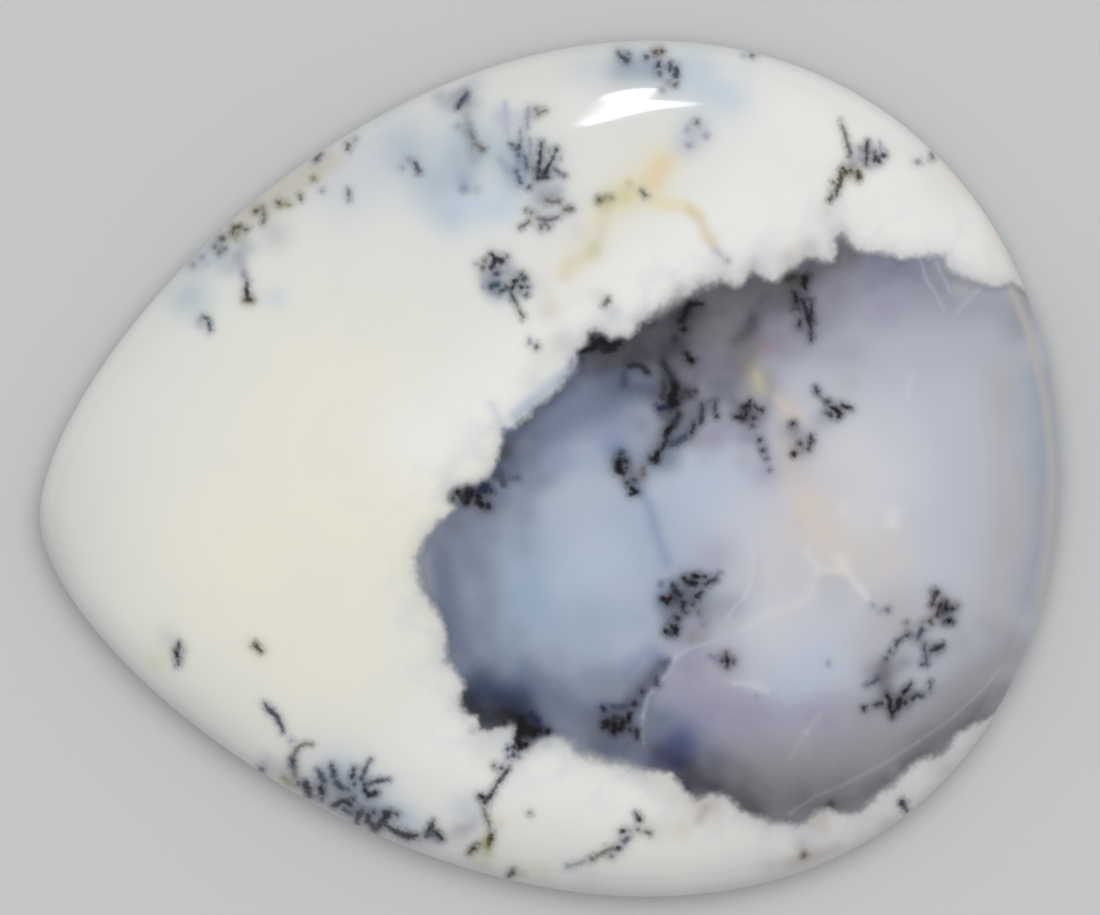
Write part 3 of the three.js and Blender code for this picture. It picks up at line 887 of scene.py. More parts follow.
WINDOW_CLOUDS = (
    ("lavender", 1.0, (930, 420, 110)),
    ("haze grey", 0.9, (870, 300, 44), (950, 300, 40), (1010, 310, 34)),
    ("thistle", 0.7, (880, 365, 30), (940, 350, 26), (985, 350, 26)),
    ("dove", 0.85, (1008, 380, 30), (1014, 450, 28), (1012, 530, 28), (1000, 600, 34)),
    ("haze grey", 0.8, (1042, 380, 16), (1046, 460, 16), (1044, 530, 16), (1030, 600, 16)),
    ("pearl", 0.95, (850, 460, 55), (870, 560, 55)),
    ("pale lavender", 0.8, (895, 440, 34), (905, 480, 34)),
    # Darker clouds just inside the window's edge all round: partly the window's own colour, partly painted
    # shade under the white.
    ("steel", 0.9, (430, 545, 55), (440, 620, 55), (470, 690, 55)),
    ("dusk", 0.85, (520, 725, 45), (590, 740, 45), (650, 755, 40)),
    ("slate blue", 0.9, (500, 440, 50), (560, 385, 45), (610, 350, 45)),
    ("smoke", 0.9, (680, 310, 45), (780, 285, 42), (842, 255, 34)),
    ("dim mauve", 0.7, (900, 262, 28), (955, 282, 24)),
    ("iron", 0.95, (700, 785, 45), (770, 810, 45), (860, 785, 42), (935, 740, 36)),
    ("lake", 1.0, (530, 590, 84)),
    ("lake", 0.8, (640, 540, 60)),
    ("sky", 0.9, (600, 555, 48)),
    ("lake", 0.8, (590, 632, 38)),
    ("sky", 0.9, (705, 490, 46)),
    ("pale lavender", 0.7, (750, 520, 40), (790, 590, 50), (800, 640, 50)),
    ("warm pearl", 0.85, (812, 520, 30), (842, 540, 28)),
    ("pale stone", 0.8, (850, 578, 34), (884, 556, 30)),
    ("dove", 0.7, (900, 612, 30), (876, 648, 26)),
    ("mauve", 0.9, (690, 690, 40), (740, 730, 40)),
    ("pewter", 0.9, (860, 742, 40), (800, 752, 36), (745, 755, 30)),
    ("iron", 0.6, (765, 780, 32), (850, 780, 30)),
    ("mauve", 0.8, (830, 715, 26), (720, 715, 26)),
    ("iron", 0.35, (882, 705, 24)),
    ("pewter", 0.9, (1010, 655, 28), (985, 672, 30), (950, 700, 30)),
    ("iron", 0.9, (1004, 694, 16), (985, 706, 18), (955, 722, 16), (925, 745, 14)),
    ("steel", 0.9, (492, 530, 18), (500, 500, 16)),
    ("dusk", 0.95, (440, 545, 20), (446, 600, 20), (460, 650, 22)),
    ("deep steel", 0.9, (466, 528, 17), (472, 560, 14)),
    ("dusk", 0.85, (500, 500, 13), (478, 515, 12)),
    ("pewter", 0.6, (424, 560, 8), (428, 590, 7)),
    ("steel", 0.9, (487, 638, 16), (495, 655, 16)),
    ("slate blue", 0.95, (560, 415, 30), (605, 402, 32)),
    ("periwinkle", 0.85, (616, 448, 22)),
    ("lake", 0.7, (588, 458, 18)),
    ("dusk", 0.95, (535, 432, 20), (526, 462, 18)),
    ("dusk", 0.9, (604, 386, 20)),
    ("storm", 0.95, (504, 450, 9), (499, 468, 11)),
    ("storm", 0.9, (570, 384, 9), (543, 408, 8), (519, 432, 8)),
    ("steel", 0.9, (528, 484, 15), (545, 478, 12)),
    ("storm", 0.9, (482, 678, 18)),
    ("deep steel", 0.85, (525, 668, 18), (556, 690, 18)),
    ("dusk", 0.9, (560, 702, 20), (590, 712, 20)),
    ("steel", 0.9, (590, 682, 22), (625, 676, 16)),
    ("lead", 0.9, (614, 722, 18)),
    ("lead", 0.35, (590, 722, 14)),
    ("lead", 0.9, (636, 700, 16), (648, 682, 13), (660, 664, 10)),
    ("deep sea", 0.95, (478, 694, 18), (520, 700, 18)),
    ("indigo", 0.4, (518, 688, 12)),
    ("night", 1.0, (464, 700, 11), (482, 720, 14), (512, 718, 15), (534, 726, 13)),
    ("dim mauve", 0.5, (607, 690, 10)),
    # Dark clouds just under the white's upper edge: partly the window's own dark colour, partly painted
    # shade.
    ("smoke", 0.95, (660, 300, 30), (760, 298, 28), (815, 264, 20)),
    ("dark smoke", 1.0, (690, 302, 30), (740, 292, 24), (770, 292, 24), (805, 275, 18)),
    ("smoke", 0.9, (702, 340, 22), (728, 330, 20)),
    ("soot", 1.0, (598, 346, 18), (640, 332, 22), (682, 316, 20)),
    ("soot", 0.9, (598, 362, 14), (630, 356, 18), (655, 354, 18), (676, 346, 16)),
    ("night", 0.7, (594, 343, 11), (612, 347, 9)),
    ("storm", 0.95, (622, 384, 15), (650, 390, 16)),
    ("lead", 0.75, (696, 390, 18), (728, 384, 20), (690, 418, 15)),
    ("dusky plum", 0.9, (704, 366, 18), (733, 362, 20)),
    ("soot", 0.8, (668, 374, 13), (674, 394, 17), (668, 415, 12)),
    ("soot", 0.55, (744, 412, 12)),
    ("lead", 0.7, (664, 442, 14), (686, 434, 12)),
    ("deep steel", 0.9, (652, 458, 15), (668, 460, 13)),
    ("soot", 0.5, (472, 495, 14)),
    ("soot", 0.35, (622, 462, 12)),
    ("dim mauve", 0.9, (785, 338, 28), (820, 318, 26)),
    ("umber", 0.6, (792, 282, 10)),
    ("dark smoke", 0.8, (790, 296, 15)),
    ("smoke", 0.8, (852, 254, 12)),
    ("dim mauve", 0.8, (880, 262, 12), (925, 266, 10)),
    ("dim mauve", 0.8, (836, 292, 22)),
    ("mauve", 0.7, (880, 305, 24)),
    ("haze grey", 0.6, (830, 350, 22)),
    ("pewter", 0.8, (768, 376, 14), (768, 400, 16)),
    ("dim mauve", 0.5, (758, 424, 14), (764, 450, 8)),
    ("dim mauve", 0.7, (745, 436, 13)),
    ("mauve", 0.9, (714, 436, 16)),
    ("mauve", 0.5, (765, 470, 18)),
    ("pewter", 0.9, (800, 445, 14)),
    ("smoke", 0.75, (750, 344, 16), (744, 366, 11)),
    ("soot", 0.75, (753, 318, 7), (748, 330, 8), (735, 342, 7)),
    ("dim rose", 0.6, (766, 346, 11)),
    ("rose ash", 0.7, (790, 402, 12), (786, 440, 13), (796, 474, 14)),
    ("peach", 0.35, (776, 398, 5), (790, 412, 10), (802, 418, 6)),
    ("pale pearl", 0.6, (858, 448, 20), (880, 476, 26), (862, 516, 22)),
    ("warm cream", 0.6, (800, 494, 18), (812, 520, 19), (832, 548, 17)),
    ("rose", 0.5, (812, 500, 9)),
    ("periwinkle", 0.45, (636, 486, 6), (649, 505, 6.5), (656, 532, 7), (667, 562, 7)),
    ("mauve", 0.4, (716, 556, 20)),
    ("rose", 0.3, (788, 536, 9)),
    ("rose ash", 0.3, (800, 523, 7)),
    ("warm pearl", 0.3, (771, 535, 13), (771, 585, 13)),
    ("cool grey", 0.4, (752, 590, 11), (754, 568, 11)),
    ("pale stone", 0.6, (793, 577, 16)),
    ("cool grey", 0.6, (832, 592, 11)),
    ("cool grey", 0.5, (818, 581, 6), (832, 577, 5), (844, 582, 6)),
    ("lavender", 0.7, (838, 598, 18)),
    ("dusk", 0.5, (690, 592, 22)),
    ("dusk", 0.85, (676, 628, 14), (668, 604, 14)),
    ("mauve", 0.9, (700, 622, 16), (694, 640, 14)),
    ("pewter", 0.8, (728, 660, 14)),
    ("mauve", 0.6, (735, 606, 14)),
    ("periwinkle", 0.6, (652, 650, 12), (634, 664, 10)),
    ("indigo", 0.95, (678, 744, 25)),
    ("deep steel", 0.7, (665, 715, 14)),
    ("dusk", 0.85, (658, 724, 12)),
    ("midnight", 0.95, (652, 754, 12), (680, 764, 14)),
    ("soot", 0.95, (692, 776, 16), (716, 786, 14)),
    ("lead", 0.8, (716, 762, 18)),
    ("dark smoke", 0.95, (736, 792, 16), (757, 808, 14)),
    ("smoke", 0.9, (800, 800, 16)),
    ("sky", 0.6, (788, 686, 24), (822, 660, 24)),
    ("pearl", 0.4, (758, 684, 10)),
    ("pearl", 0.6, (770, 622, 22)),
    ("dim mauve", 0.5, (872, 672, 12)),
    ("rose ash", 0.3, (925, 678, 9)),
    ("smoke", 0.3, (898, 701, 16)),
    ("smoke", 0.3, (942, 612, 15)),
    ("iron", 0.5, (935, 650, 12), (910, 635, 10)),
    ("grey blue", 0.6, (1030, 372, 12), (1034, 470, 12)),
    ("storm", 0.7, (509, 441, 8), (512, 456, 11)),
    ("steel", 0.75, (484, 572, 18), (486, 600, 19), (482, 622, 15)),
    ("night", 0.6, (478, 712, 12), (500, 717, 12), (516, 722, 9)),
    ("dusk", 0.7, (646, 722, 11), (645, 709, 9)),
    ("lead", 0.8, (598, 741, 11), (618, 744, 11), (642, 745, 12)),
    ("midnight", 0.6, (658, 757, 10)),
    ("dove", 0.75, (962, 290, 14)),
    ("dusk", 0.45, (894, 270, 13), (916, 273, 11)),
    ("pewter", 0.6, (1021, 292, 10), (1019, 330, 10)),
    ("dusk", 0.9, (452, 524, 12)),
    ("dusk", 0.5, (642, 425, 14)),
    ("dusk", 0.35, (712, 606, 15)),
    ("dusk", 0.35, (728, 425, 11)),
    ("storm", 0.9, (580, 369, 11)),
    ("storm", 0.6, (688, 597, 12)),
    ("soot", 0.85, (631, 351, 11)),
    ("pewter", 0.5, (660, 313, 8)),
    ("smoke", 0.6, (769, 795, 14)),
    ("dim mauve", 0.45, (688, 664, 14)),
    ("iron", 0.6, (886, 673, 11), (904, 662, 10)),
    ("dusk", 0.5, (625, 752, 10), (604, 746, 10)),
    ("storm", 0.5, (654, 764, 9)),
    ("soot", 0.6, (686, 785, 9)),
    ("smoke", 0.85, (822, 806, 10), (852, 800, 10), (884, 780, 9)),
    ("smoke", 0.8, (905, 764, 8), (945, 737, 8), (984, 714, 10)),
    ("moss", 0.7, (831, 804, 4.5)),
    ("night", 0.6, (594, 354, 7)),
    ("dusk", 0.5, (875, 262, 8)),
    ("smoke", 0.7, (884, 667, 8), (885, 689, 9)),
    ("pewter", 0.4, (960, 640, 13)),
    ("storm", 0.75, (604, 748, 9), (626, 750, 9), (642, 753, 9)),
    ("dusk", 0.4, (700, 612, 12)),
    ("pewter", 0.55, (702, 636, 12)),
    ("mauve", 0.5, (700, 664, 14)),
    ("dove", 0.4, (727, 626, 14)),
    ("smoke", 0.55, (794, 431, 8)),
    ("pewter", 0.4, (786, 430, 12)),
    ("smoke", 0.4, (760, 415, 8), (752, 420, 9)),
    ("smoke", 0.55, (732, 401, 8)),
    ("storm", 0.7, (582, 362, 9)),
    ("storm", 0.6, (510, 439, 7)),
    ("night", 0.7, (631, 352, 11)),
    ("storm", 0.5, (455, 527, 11)),
    ("steel", 0.6, (523, 512, 13)),
    ("smoke", 0.5, (837, 786, 14)),
    ("night", 0.5, (526, 736, 6)),
    ("deep steel", 0.45, (480, 540, 15), (482, 580, 17), (480, 622, 15)),
    ("steel", 0.45, (524, 470, 16), (524, 505, 16), (523, 545, 16)),
    ("periwinkle", 0.5, (560, 462, 16)),
    ("sky", 0.5, (564, 584, 22), (604, 562, 22)),
    ("lake", 0.6, (640, 620, 16)),
    ("steel", 0.5, (557, 658, 16)),
    ("smoke", 0.6, (721, 342, 13), (742, 357, 11)),
    ("smoke", 0.4, (759, 338, 8)),
    ("dim mauve", 0.5, (702, 390, 11)),
    ("rose ash", 0.22, (792, 343, 13)),
    ("haze grey", 0.6, (852, 350, 17)),
    ("dove", 0.6, (850, 380, 13)),
    ("pewter", 0.5, (821, 421, 11)),
    ("pewter", 0.5, (700, 442, 10)),
    ("haze grey", 0.5, (742, 461, 9)),
    ("haze grey", 0.35, (703, 459, 9)),
    ("pewter", 0.4, (720, 607, 12)),
    ("shell", 0.4, (841, 560, 9)),
    ("pewter", 0.35, (982, 622, 14), (1012, 636, 14)),
    ("haze grey", 0.4, (1012, 336, 15)),
    ("dusk", 0.4, (873, 283, 13)),
    ("black", 0.5, (583, 360, 6)),
    ("storm", 0.5, (511, 464, 10)),
    ("night", 0.6, (501, 717, 10)),
    ("storm", 0.4, (683, 588, 9)),
    ("soot", 0.35, (636, 477, 12)),
    ("soot", 0.5, (510, 440, 7), (505, 455, 7)),
    ("storm", 0.35, (512, 475, 10)),
    ("slate blue", 0.5, (546, 721, 8)),
    ("midnight", 0.7, (658, 762, 8)),
    ("smoke", 0.6, (741, 772, 12), (756, 785, 12)),
    ("smoke", 0.6, (785, 807, 11)),
    ("dark smoke", 0.5, (716, 771, 11)),
    ("soot", 0.4, (755, 326, 8)),
    ("black", 0.8, (497, 719, 7), (508, 719, 7)),
    ("soot", 0.5, (675, 601, 8)),
    ("storm", 0.6, (579, 374, 8)),
    ("iron", 0.5, (692, 636, 7)),
    ("black", 0.35, (629, 350, 10)),
    ("iron", 0.4, (748, 387, 9)),
    ("pewter", 0.4, (702, 389, 8)),
    ("storm", 0.5, (461, 511, 8)),
    ("soot", 0.45, (580, 372, 8)),
    ("soot", 0.35, (684, 364, 9)),
    ("steel", 0.5, (514, 635, 16)),
    ("dusk", 0.4, (449, 530, 12)),
    ("rim light", 0.8, (1010, 286, 6), (1030, 334, 5), (1046, 400, 4.5), (1053, 470, 4.5),
     (1050, 540, 4.5), (1040, 610, 5)),
)
# Thin veins and small patches in the window, which show only from the front.
VEINS = (
    ("cool vein", 0.17, (789, 814, 1.8), (814, 797, 1.8), (839, 787, 1.8), (880, 766, 1.8),
     (918, 742, 1.8)),
    ("cool vein", 0.17, (918, 742, 1.8), (950, 720, 1.8), (964, 707, 1.8), (982, 691, 1.8),
     (1004, 664, 1.8)),
    ("lavender", 0.45, (732, 632, 2.6), (716, 640, 2.6), (697, 646, 2.6), (686, 650, 2.6), (676, 657, 2.4)),
    ("lavender", 0.5, (676, 657, 2.6), (670, 671, 2.6), (658, 686, 2.6), (648, 696, 2.4), (643, 716, 2.2)),
    ("lavender", 0.3, (643, 716, 2.2), (642, 730, 2), (644, 744, 1.6)),
    ("vein", 0.45, (807, 551, 4), (813, 560, 4.6), (820, 569, 5), (833, 571, 4.4), (846, 569, 5)),
    ("vein", 0.6, (842, 567, 4), (852, 579, 4), (859, 587, 4), (867, 598, 3)),
    ("vein", 0.35, (816, 572, 5), (814, 583, 5.4), (810, 594, 6), (802, 602, 6.6), (788, 608, 6.6),
     (768, 613, 6)),
    ("cool vein", 0.4, (768, 613, 4), (754, 623, 3.4), (742, 630, 3)),
    ("sky", 0.6, (745, 596, 2.2), (736, 605, 2.2), (728, 617, 2.2)),
    ("cool vein", 0.4, (749, 540, 2.6), (754, 562, 2.6), (750, 586, 2.4), (744, 598, 2.2)),
    ("vein", 0.7, (843, 508, 5)),
    ("milk", 0.5, (893, 512, 8), (892, 523, 8)),
    ("cool vein", 0.3, (911, 376, 4), (908, 396, 4)),
    ("tarnish", 0.4, (750, 366, 11), (756, 384, 12)),
    ("gold", 0.4, (757, 374, 5), (761, 388, 6.5)),
    ("cool vein", 0.8, (858, 587, 3.4), (864, 592, 3)),
    ("cool vein", 0.45, (734, 683, 3.2), (750, 684, 4), (768, 691, 3.4)),
    ("sky", 0.5, (806, 690, 3), (826, 668, 3), (832, 652, 2.6)),
    ("lavender", 0.35, (921, 260, 2), (926, 279, 2.2), (936, 294, 2.2), (944, 311, 2)),
    ("lavender", 0.4, (936, 262, 1.8), (945, 279, 1.8), (950, 292, 1.8)),
    ("lavender", 0.4, (979, 290, 2.4), (968, 300, 2.6), (957, 312, 2.6)),
    ("rose ash", 0.3, (822, 712, 3), (806, 732, 2.6)),
    ("rose ash", 0.18, (806, 732, 2.6), (790, 758, 2.2)),
    ("rose", 0.3, (884, 545, 4), (900, 562, 3), (880, 575, 3)),
)

# The softbox's mirror image on the dome: corners in the photograph's pixels, with a brightness each.
HIGHLIGHT_CORNERS = (
    (576, 124.5, 0.35), (587, 112, 0.05), (597, 100, 0.1), (607, 93.5, 0.7), (624, 89.5, 1),
    (646, 87.5, 1), (658, 88, 0.8), (656, 92, 0.6), (649, 98, 0.8), (666, 100, 0.9), (690, 100.5, 0.7),
    (706, 102, 0.2), (690, 105.5, 0.7), (668, 107, 1), (650, 108.5, 1), (630, 113.5, 1), (606, 120, 1),
    (589, 123.5, 0.9),
)
HIGHLIGHT_MIDDLE = (628, 104, 1)


class StoneSettings(bpy.types.PropertyGroup):
    """Sizes and finish of the cabochon."""

    length: bpy.props.FloatProperty(
        name="Length",
        description="From the nose to the broad end",
        default=BOX_HIGH.x - BOX_LOW.x,
        unit="LENGTH",
    )
    width: bpy.props.FloatProperty(
        name="Width",
        description="Across the two flanks",
        default=BOX_HIGH.y - BOX_LOW.y,
        unit="LENGTH",
    )
    thickness: bpy.props.FloatProperty(
        name="Thickness",
        description="From the flat back to the crown",
        default=BOX_HIGH.z - BOX_LOW.z,
        unit="LENGTH",
    )
    finest_facet: bpy.props.FloatProperty(
        name="Finest facet",
        description="Length of the facets at the markings",
        default=FINEST,
        unit="LENGTH",
    )
    polish_roughness: bpy.props.FloatProperty(
        name="Polish",
        description="Roughness of the polished dome",
        default=0.06,
        min=0,
        max=1,
        subtype="FACTOR",
    )
    back_roughness: bpy.props.FloatProperty(
        name="Ground back",
        description="Roughness of the ground back",
        default=0.42,
        min=0,
        max=1,
        subtype="FACTOR",
    )


class StageSettings(bpy.types.PropertyGroup):
    """Floor, lights and camera."""

    floor_colour: bpy.props.FloatVectorProperty(
        name="Floor",
        description="Colour of the floor",
        default=(0.56, 0.565, 0.57),
        size=3,
        subtype="COLOR",
    )
    softbox_strength: bpy.props.FloatProperty(
        name="Softbox",
        description="Brightness of the small softbox that the dome mirrors",
        default=14,
        min=0,
    )
    sky_strength: bpy.props.FloatProperty(
        name="Even light",
        description="Brightness of the even light from all round",
        default=0.58,
        min=0,
    )
    main_strength: bpy.props.FloatProperty(
        name="Main light",
        description="Strength of the broad main light",
        default=1.36,
        min=0,
    )
    camera_height: bpy.props.FloatProperty(
        name="Camera height",
        description="Height of the camera over the girdle",
        default=CAMERA_HEIGHT,
        unit="LENGTH",
    )


def srgb(name):
    """A named colour in sRGB steps from 0 to 1."""
    return np.array(COLOURS[name], float) / 255


def linear(colour):
    """sRGB steps from 0 to 1 turned into light."""
    return np.where(colour <= 0.04045, colour / 12.92, ((colour + 0.055) / 1.055) ** 2.4)


def add_node(tree, kind, inputs=None, **settings):
    """Adds a node, sets it up, and fills or links its inputs by name or number."""
    made = tree.nodes.new(kind)
    for name, value in settings.items():
        setattr(made, name, value)
    for key, value in (inputs or {}).items():
        if isinstance(value, bpy.types.NodeSocket):
            tree.links.new(value, made.inputs[key])
        else:
            made.inputs[key].default_value = value
    return made


def calculate(tree, operation, *values, clamp=False):
    """A Math node's result."""
    inputs = dict(enumerate(values))
    return add_node(tree, "ShaderNodeMath", inputs, operation=operation, use_clamp=clamp).outputs[0]


def times(tree, first, *others):
    """The product of values."""
    for other in others:
        first = calculate(tree, "MULTIPLY", first, other)
    return first


def plus(tree, first, *others):
    """The sum of values."""
    for other in others:
        first = calculate(tree, "ADD", first, other)
    return first


def less(tree, value, taken):
    """One value less another."""
    return calculate(tree, "SUBTRACT", value, taken)


def vector(tree, x=0.0, y=0.0, z=0.0):
    """A vector made of its three parts."""
    return add_node(tree, "ShaderNodeCombineXYZ", {"X": x, "Y": y, "Z": z}).outputs[0]


def join_vectors(tree, operation, first, second):
    """A Vector Math node's result."""
    return add_node(tree, "ShaderNodeVectorMath", {0: first, 1: second}, operation=operation).outputs[0]


def square_to_round(across, along):
    """Turns places on a square from -1 to 1 into a level and a turn, both 0 to 1, clockwise from -X."""
    level = np.maximum(np.abs(across), np.abs(along))
    reach = np.where(level > 0, level, 1)
    side = np.abs(across) >= np.abs(along)
    turn = np.where(side, np.where(across > 0, 0.5, 0.0), np.where(along > 0, 0.25, 0.75))
    lean = np.where(side, -along * np.sign(across), across * np.sign(along)) / reach
    return level, (turn + lean / 8) % 1.0


def split_points(span):
    """Grid points where a triangle's longest side is split, because it is longer than the span there."""
    active = np.zeros(span.shape, bool)

    def lit(rows, columns):
        inside = ((rows >= 0) & (rows <= GRID))[:, None] & ((columns >= 0) & (columns <= GRID))[None, :]
        return active[np.ix_(rows.clip(0, GRID), columns.clip(0, GRID))] & inside

    size = 2
    while size <= GRID:
        half, quarter = size // 2, size // 4
        middles, lines = np.arange(half, GRID, size), np.arange(0, GRID + 1, size)
        for rows, columns in ((middles, lines), (lines, middles)):
            wanted = span[np.ix_(rows, columns)] < size
            if quarter:
                for down in (-quarter, quarter):
                    for right in (-quarter, quarter):
                        wanted |= lit(rows + down, columns + right)
            active[np.ix_(rows, columns)] = wanted
        wanted = span[np.ix_(middles, middles)] < size * math.sqrt(2)
        for down, right in ((-half, 0), (half, 0), (0, -half), (0, half)):
            wanted |= lit(middles + down, middles + right)
        active[np.ix_(middles, middles)] = wanted
        size *= 2
    active[GRID // 2, GRID // 2] = True
    return active


def split_sheet(span):
    """Right triangles over the square grid, split wherever one is longer than the span wanted there."""
    active = split_points(span)
    whole = []
    todo = np.array([[(0, GRID), (0, 0), (GRID, GRID)], [(GRID, 0), (GRID, GRID), (0, 0)]])
    while len(todo):
        apex, start, end = todo[:, 0], todo[:, 1], todo[:, 2]
        middle = (start + end) // 2
        small = ((start + end) % 2).any(axis=1)
        split = active[middle[:, 1], middle[:, 0]] & ~small
        whole.append(todo[~split])
        apex, start, end, middle = apex[split], start[split], end[split], middle[split]
        todo = np.concatenate([np.stack([middle, apex, start], 1), np.stack([middle, end, apex], 1)])
    corners = np.concatenate(whole).reshape(-1, 2)
    places, numbers = np.unique(corners[:, 1] * (GRID + 1) + corners[:, 0], return_inverse=True)
    across = places % (GRID + 1) / (GRID / 2) - 1
    along = places // (GRID + 1) / (GRID / 2) - 1
    return across, along, numbers.reshape(-1, 3)


def spread(sketch):
    """Values of the coarse sketch grid, carried to every point of the fine grid."""
    at = np.linspace(0, SKETCH_GRID, GRID + 1)
    low = np.minimum(at.astype(int), SKETCH_GRID - 1)
    part = (at - low).astype(np.float32)
    rows = sketch[low] * (1 - part)[:, None] + sketch[low + 1] * part[:, None]
    return rows[:, low] * (1 - part)[None, :] + rows[:, low + 1] * part[None, :]


def wanted_span(places, wanted):
    """The longest facet wanted at each grid point, in grid steps, from sizes in metres on the sketch."""
    rows = np.linalg.norm(np.gradient(places, axis=0), axis=2)
    columns = np.linalg.norm(np.gradient(places, axis=1), axis=2)
    step = np.maximum(rows, columns) / (GRID / SKETCH_GRID)
    span = spread((wanted / step).astype(np.float32))
    border = np.zeros(span.shape, bool)
    border[: RIM_STEP + 1] = border[-RIM_STEP - 1 :] = True
    border[:, : RIM_STEP + 1] = border[:, -RIM_STEP - 1 :] = True
    span[border] = np.maximum(span[border], RIM_STEP)
    span[[0, -1], :] = span[:, [0, -1]] = RIM_STEP
    return span


def to_photo(points):
    """Where the camera sees points of the stone, in the photograph's pixels."""
    x, y, z = points[:, 0] / MM, points[:, 1] / MM, points[:, 2]
    nearness = CAMERA_HEIGHT / (CAMERA_HEIGHT - (z - GIRDLE_TOP))
    turned_x = (x * math.cos(STONE_TURN) - y * math.sin(STONE_TURN)) * nearness
    turned_y = (x * math.sin(STONE_TURN) + y * math.cos(STONE_TURN)) * nearness
    return np.stack([STONE_PX[0] + PX_PER_MM * turned_x, STONE_PX[1] - PX_PER_MM * turned_y], 1)


def round_the_rim(pixels, level):
    """Lets the markings run on round the rim, as if the girdle and bevel were folded out flat."""
    out = pixels - to_photo(np.array([[CROWN_X, CROWN_Y, 0.0]]))
    away = np.maximum(np.hypot(*out.T), SMALLEST_PX)
    girdle, bevel = (GIRDLE_TOP - GIRDLE_BOTTOM) / MM, GIRDLE_BOTTOM / MM
    beyond = girdle * (level - RIM).clip(0, 1) + bevel * (level - GIRDLE_FOOT).clip(0, 1)
    return pixels + out * (beyond * PX_PER_MM * (BACK_MIDDLE - level).clip(0, 1) / away)[:, None]


def near_chain(pixels, chain, reach):
    """Which points lie in the box round a chain, widened by a reach in pixels."""
    places = np.array(chain, float)[:, :2]
    return ((pixels > places.min(axis=0) - reach) & (pixels < places.max(axis=0) + reach)).all(axis=1)


def chain_distance(pixels, chain, share=False):
    """Distance in pixels to a chain of x, y and half width, or its share of the width there."""
    nearest = np.full(len(pixels), np.inf)
    for start, end in zip(chain, chain[1:] if len(chain) > 1 else chain):
        a, b = np.array(start, float), np.array(end, float)
        run = b[:2] - a[:2]
        length = run @ run
        at = ((pixels - a[:2]) @ run / length).clip(0, 1) if length else np.zeros(len(pixels))
        gap = np.hypot(*(pixels - a[:2] - at[:, None] * run).T)
        width = a[2] + at * (b[2] - a[2])
        nearest = np.minimum(nearest, gap / width if share else gap - width)
    return nearest


def join_dendrites(pixels, merge):
    """Distance in pixels to the nearest dendrite, less than 0 inside one, and its colour."""
    weight = np.full(len(pixels), NEXT_TO_NOTHING)
    colour = np.zeros((len(pixels), 3))
    for ink, *chain in DENDRITES:
        near = near_chain(pixels, chain, INK_SPREAD)
        part = np.exp(-chain_distance(pixels[near], chain) / merge)
        weight[near] += part
        colour[near] += part[:, None] * srgb(ink)
    return -merge * np.log(weight), colour / weight[:, None]


def window_distance(pixels):
    """Distance in pixels into the window, less than 0 in the white, and half the fade's width there."""
    edge = np.array(WINDOW_EDGE, float)
    nearest = np.full(len(pixels), np.inf)
    fade = np.zeros(len(pixels))
    inside = np.zeros(len(pixels), bool)
    for a, b in zip(edge, np.roll(edge, -1, axis=0)):
        run = b[:2] - a[:2]
        at = ((pixels - a[:2]) @ run / (run @ run)).clip(0, 1)
        gap = np.hypot(*(pixels - a[:2] - at[:, None] * run).T)
        closer = gap < nearest
        nearest = np.where(closer, gap, nearest)
        fade = np.where(closer, a[2] + at * (b[2] - a[2]), fade)
        crosses = (a[1] > pixels[:, 1]) != (b[1] > pixels[:, 1])
        if run[1]:
            inside ^= crosses & (pixels[:, 0] < a[0] + (pixels[:, 1] - a[1]) * run[0] / run[1])
    return np.where(inside, nearest, -nearest), fade


def paint(pixels, ground, clouds):
    """Soft clouds of colour, one over the other, on a plain ground."""
    field = np.tile(srgb(ground), (len(pixels), 1))
    for colour, strength, *chain in clouds:
        near = near_chain(pixels, chain, CLOUD_SPREAD * max(reach for _, _, reach in chain))
        cover = strength * np.exp(-(chain_distance(pixels[near], chain, share=True) ** 2))
        field[near] += (srgb(colour) - field[near]) * cover[:, None]
    return field


def stone_values(settings):
    """The sizes that the cutting tree asks for, by name."""
    return {
        "Length": settings.length,
        "Width": settings.width,
        "Thickness": settings.thickness,
        "Girdle bottom": GIRDLE_BOTTOM,
        "Girdle top": GIRDLE_TOP,
        "Nose Y": NOSE_Y,
        "Broad end Y": BROAD_END_Y,
        "Left flank X": LEFT_FLANK_X,
        "Right flank X": RIGHT_FLANK_X,
        "Nose left reach": NOSE_LEFT_REACH,
        "Left flank nose reach": LEFT_FLANK_NOSE_REACH,
        "Left flank end reach": LEFT_FLANK_END_REACH,
        "Broad end left reach": BROAD_END_LEFT_REACH,
        "Broad end right reach": BROAD_END_RIGHT_REACH,
        "Right flank end reach": RIGHT_FLANK_END_REACH,
        "Right flank nose reach": RIGHT_FLANK_NOSE_REACH,
        "Nose right reach": NOSE_RIGHT_REACH,
        "Crown X": CROWN_X,
        "Crown Y": CROWN_Y,
        "Dome flatness": DOME_FLATNESS,
        "Back share": BACK_SHARE,
    }


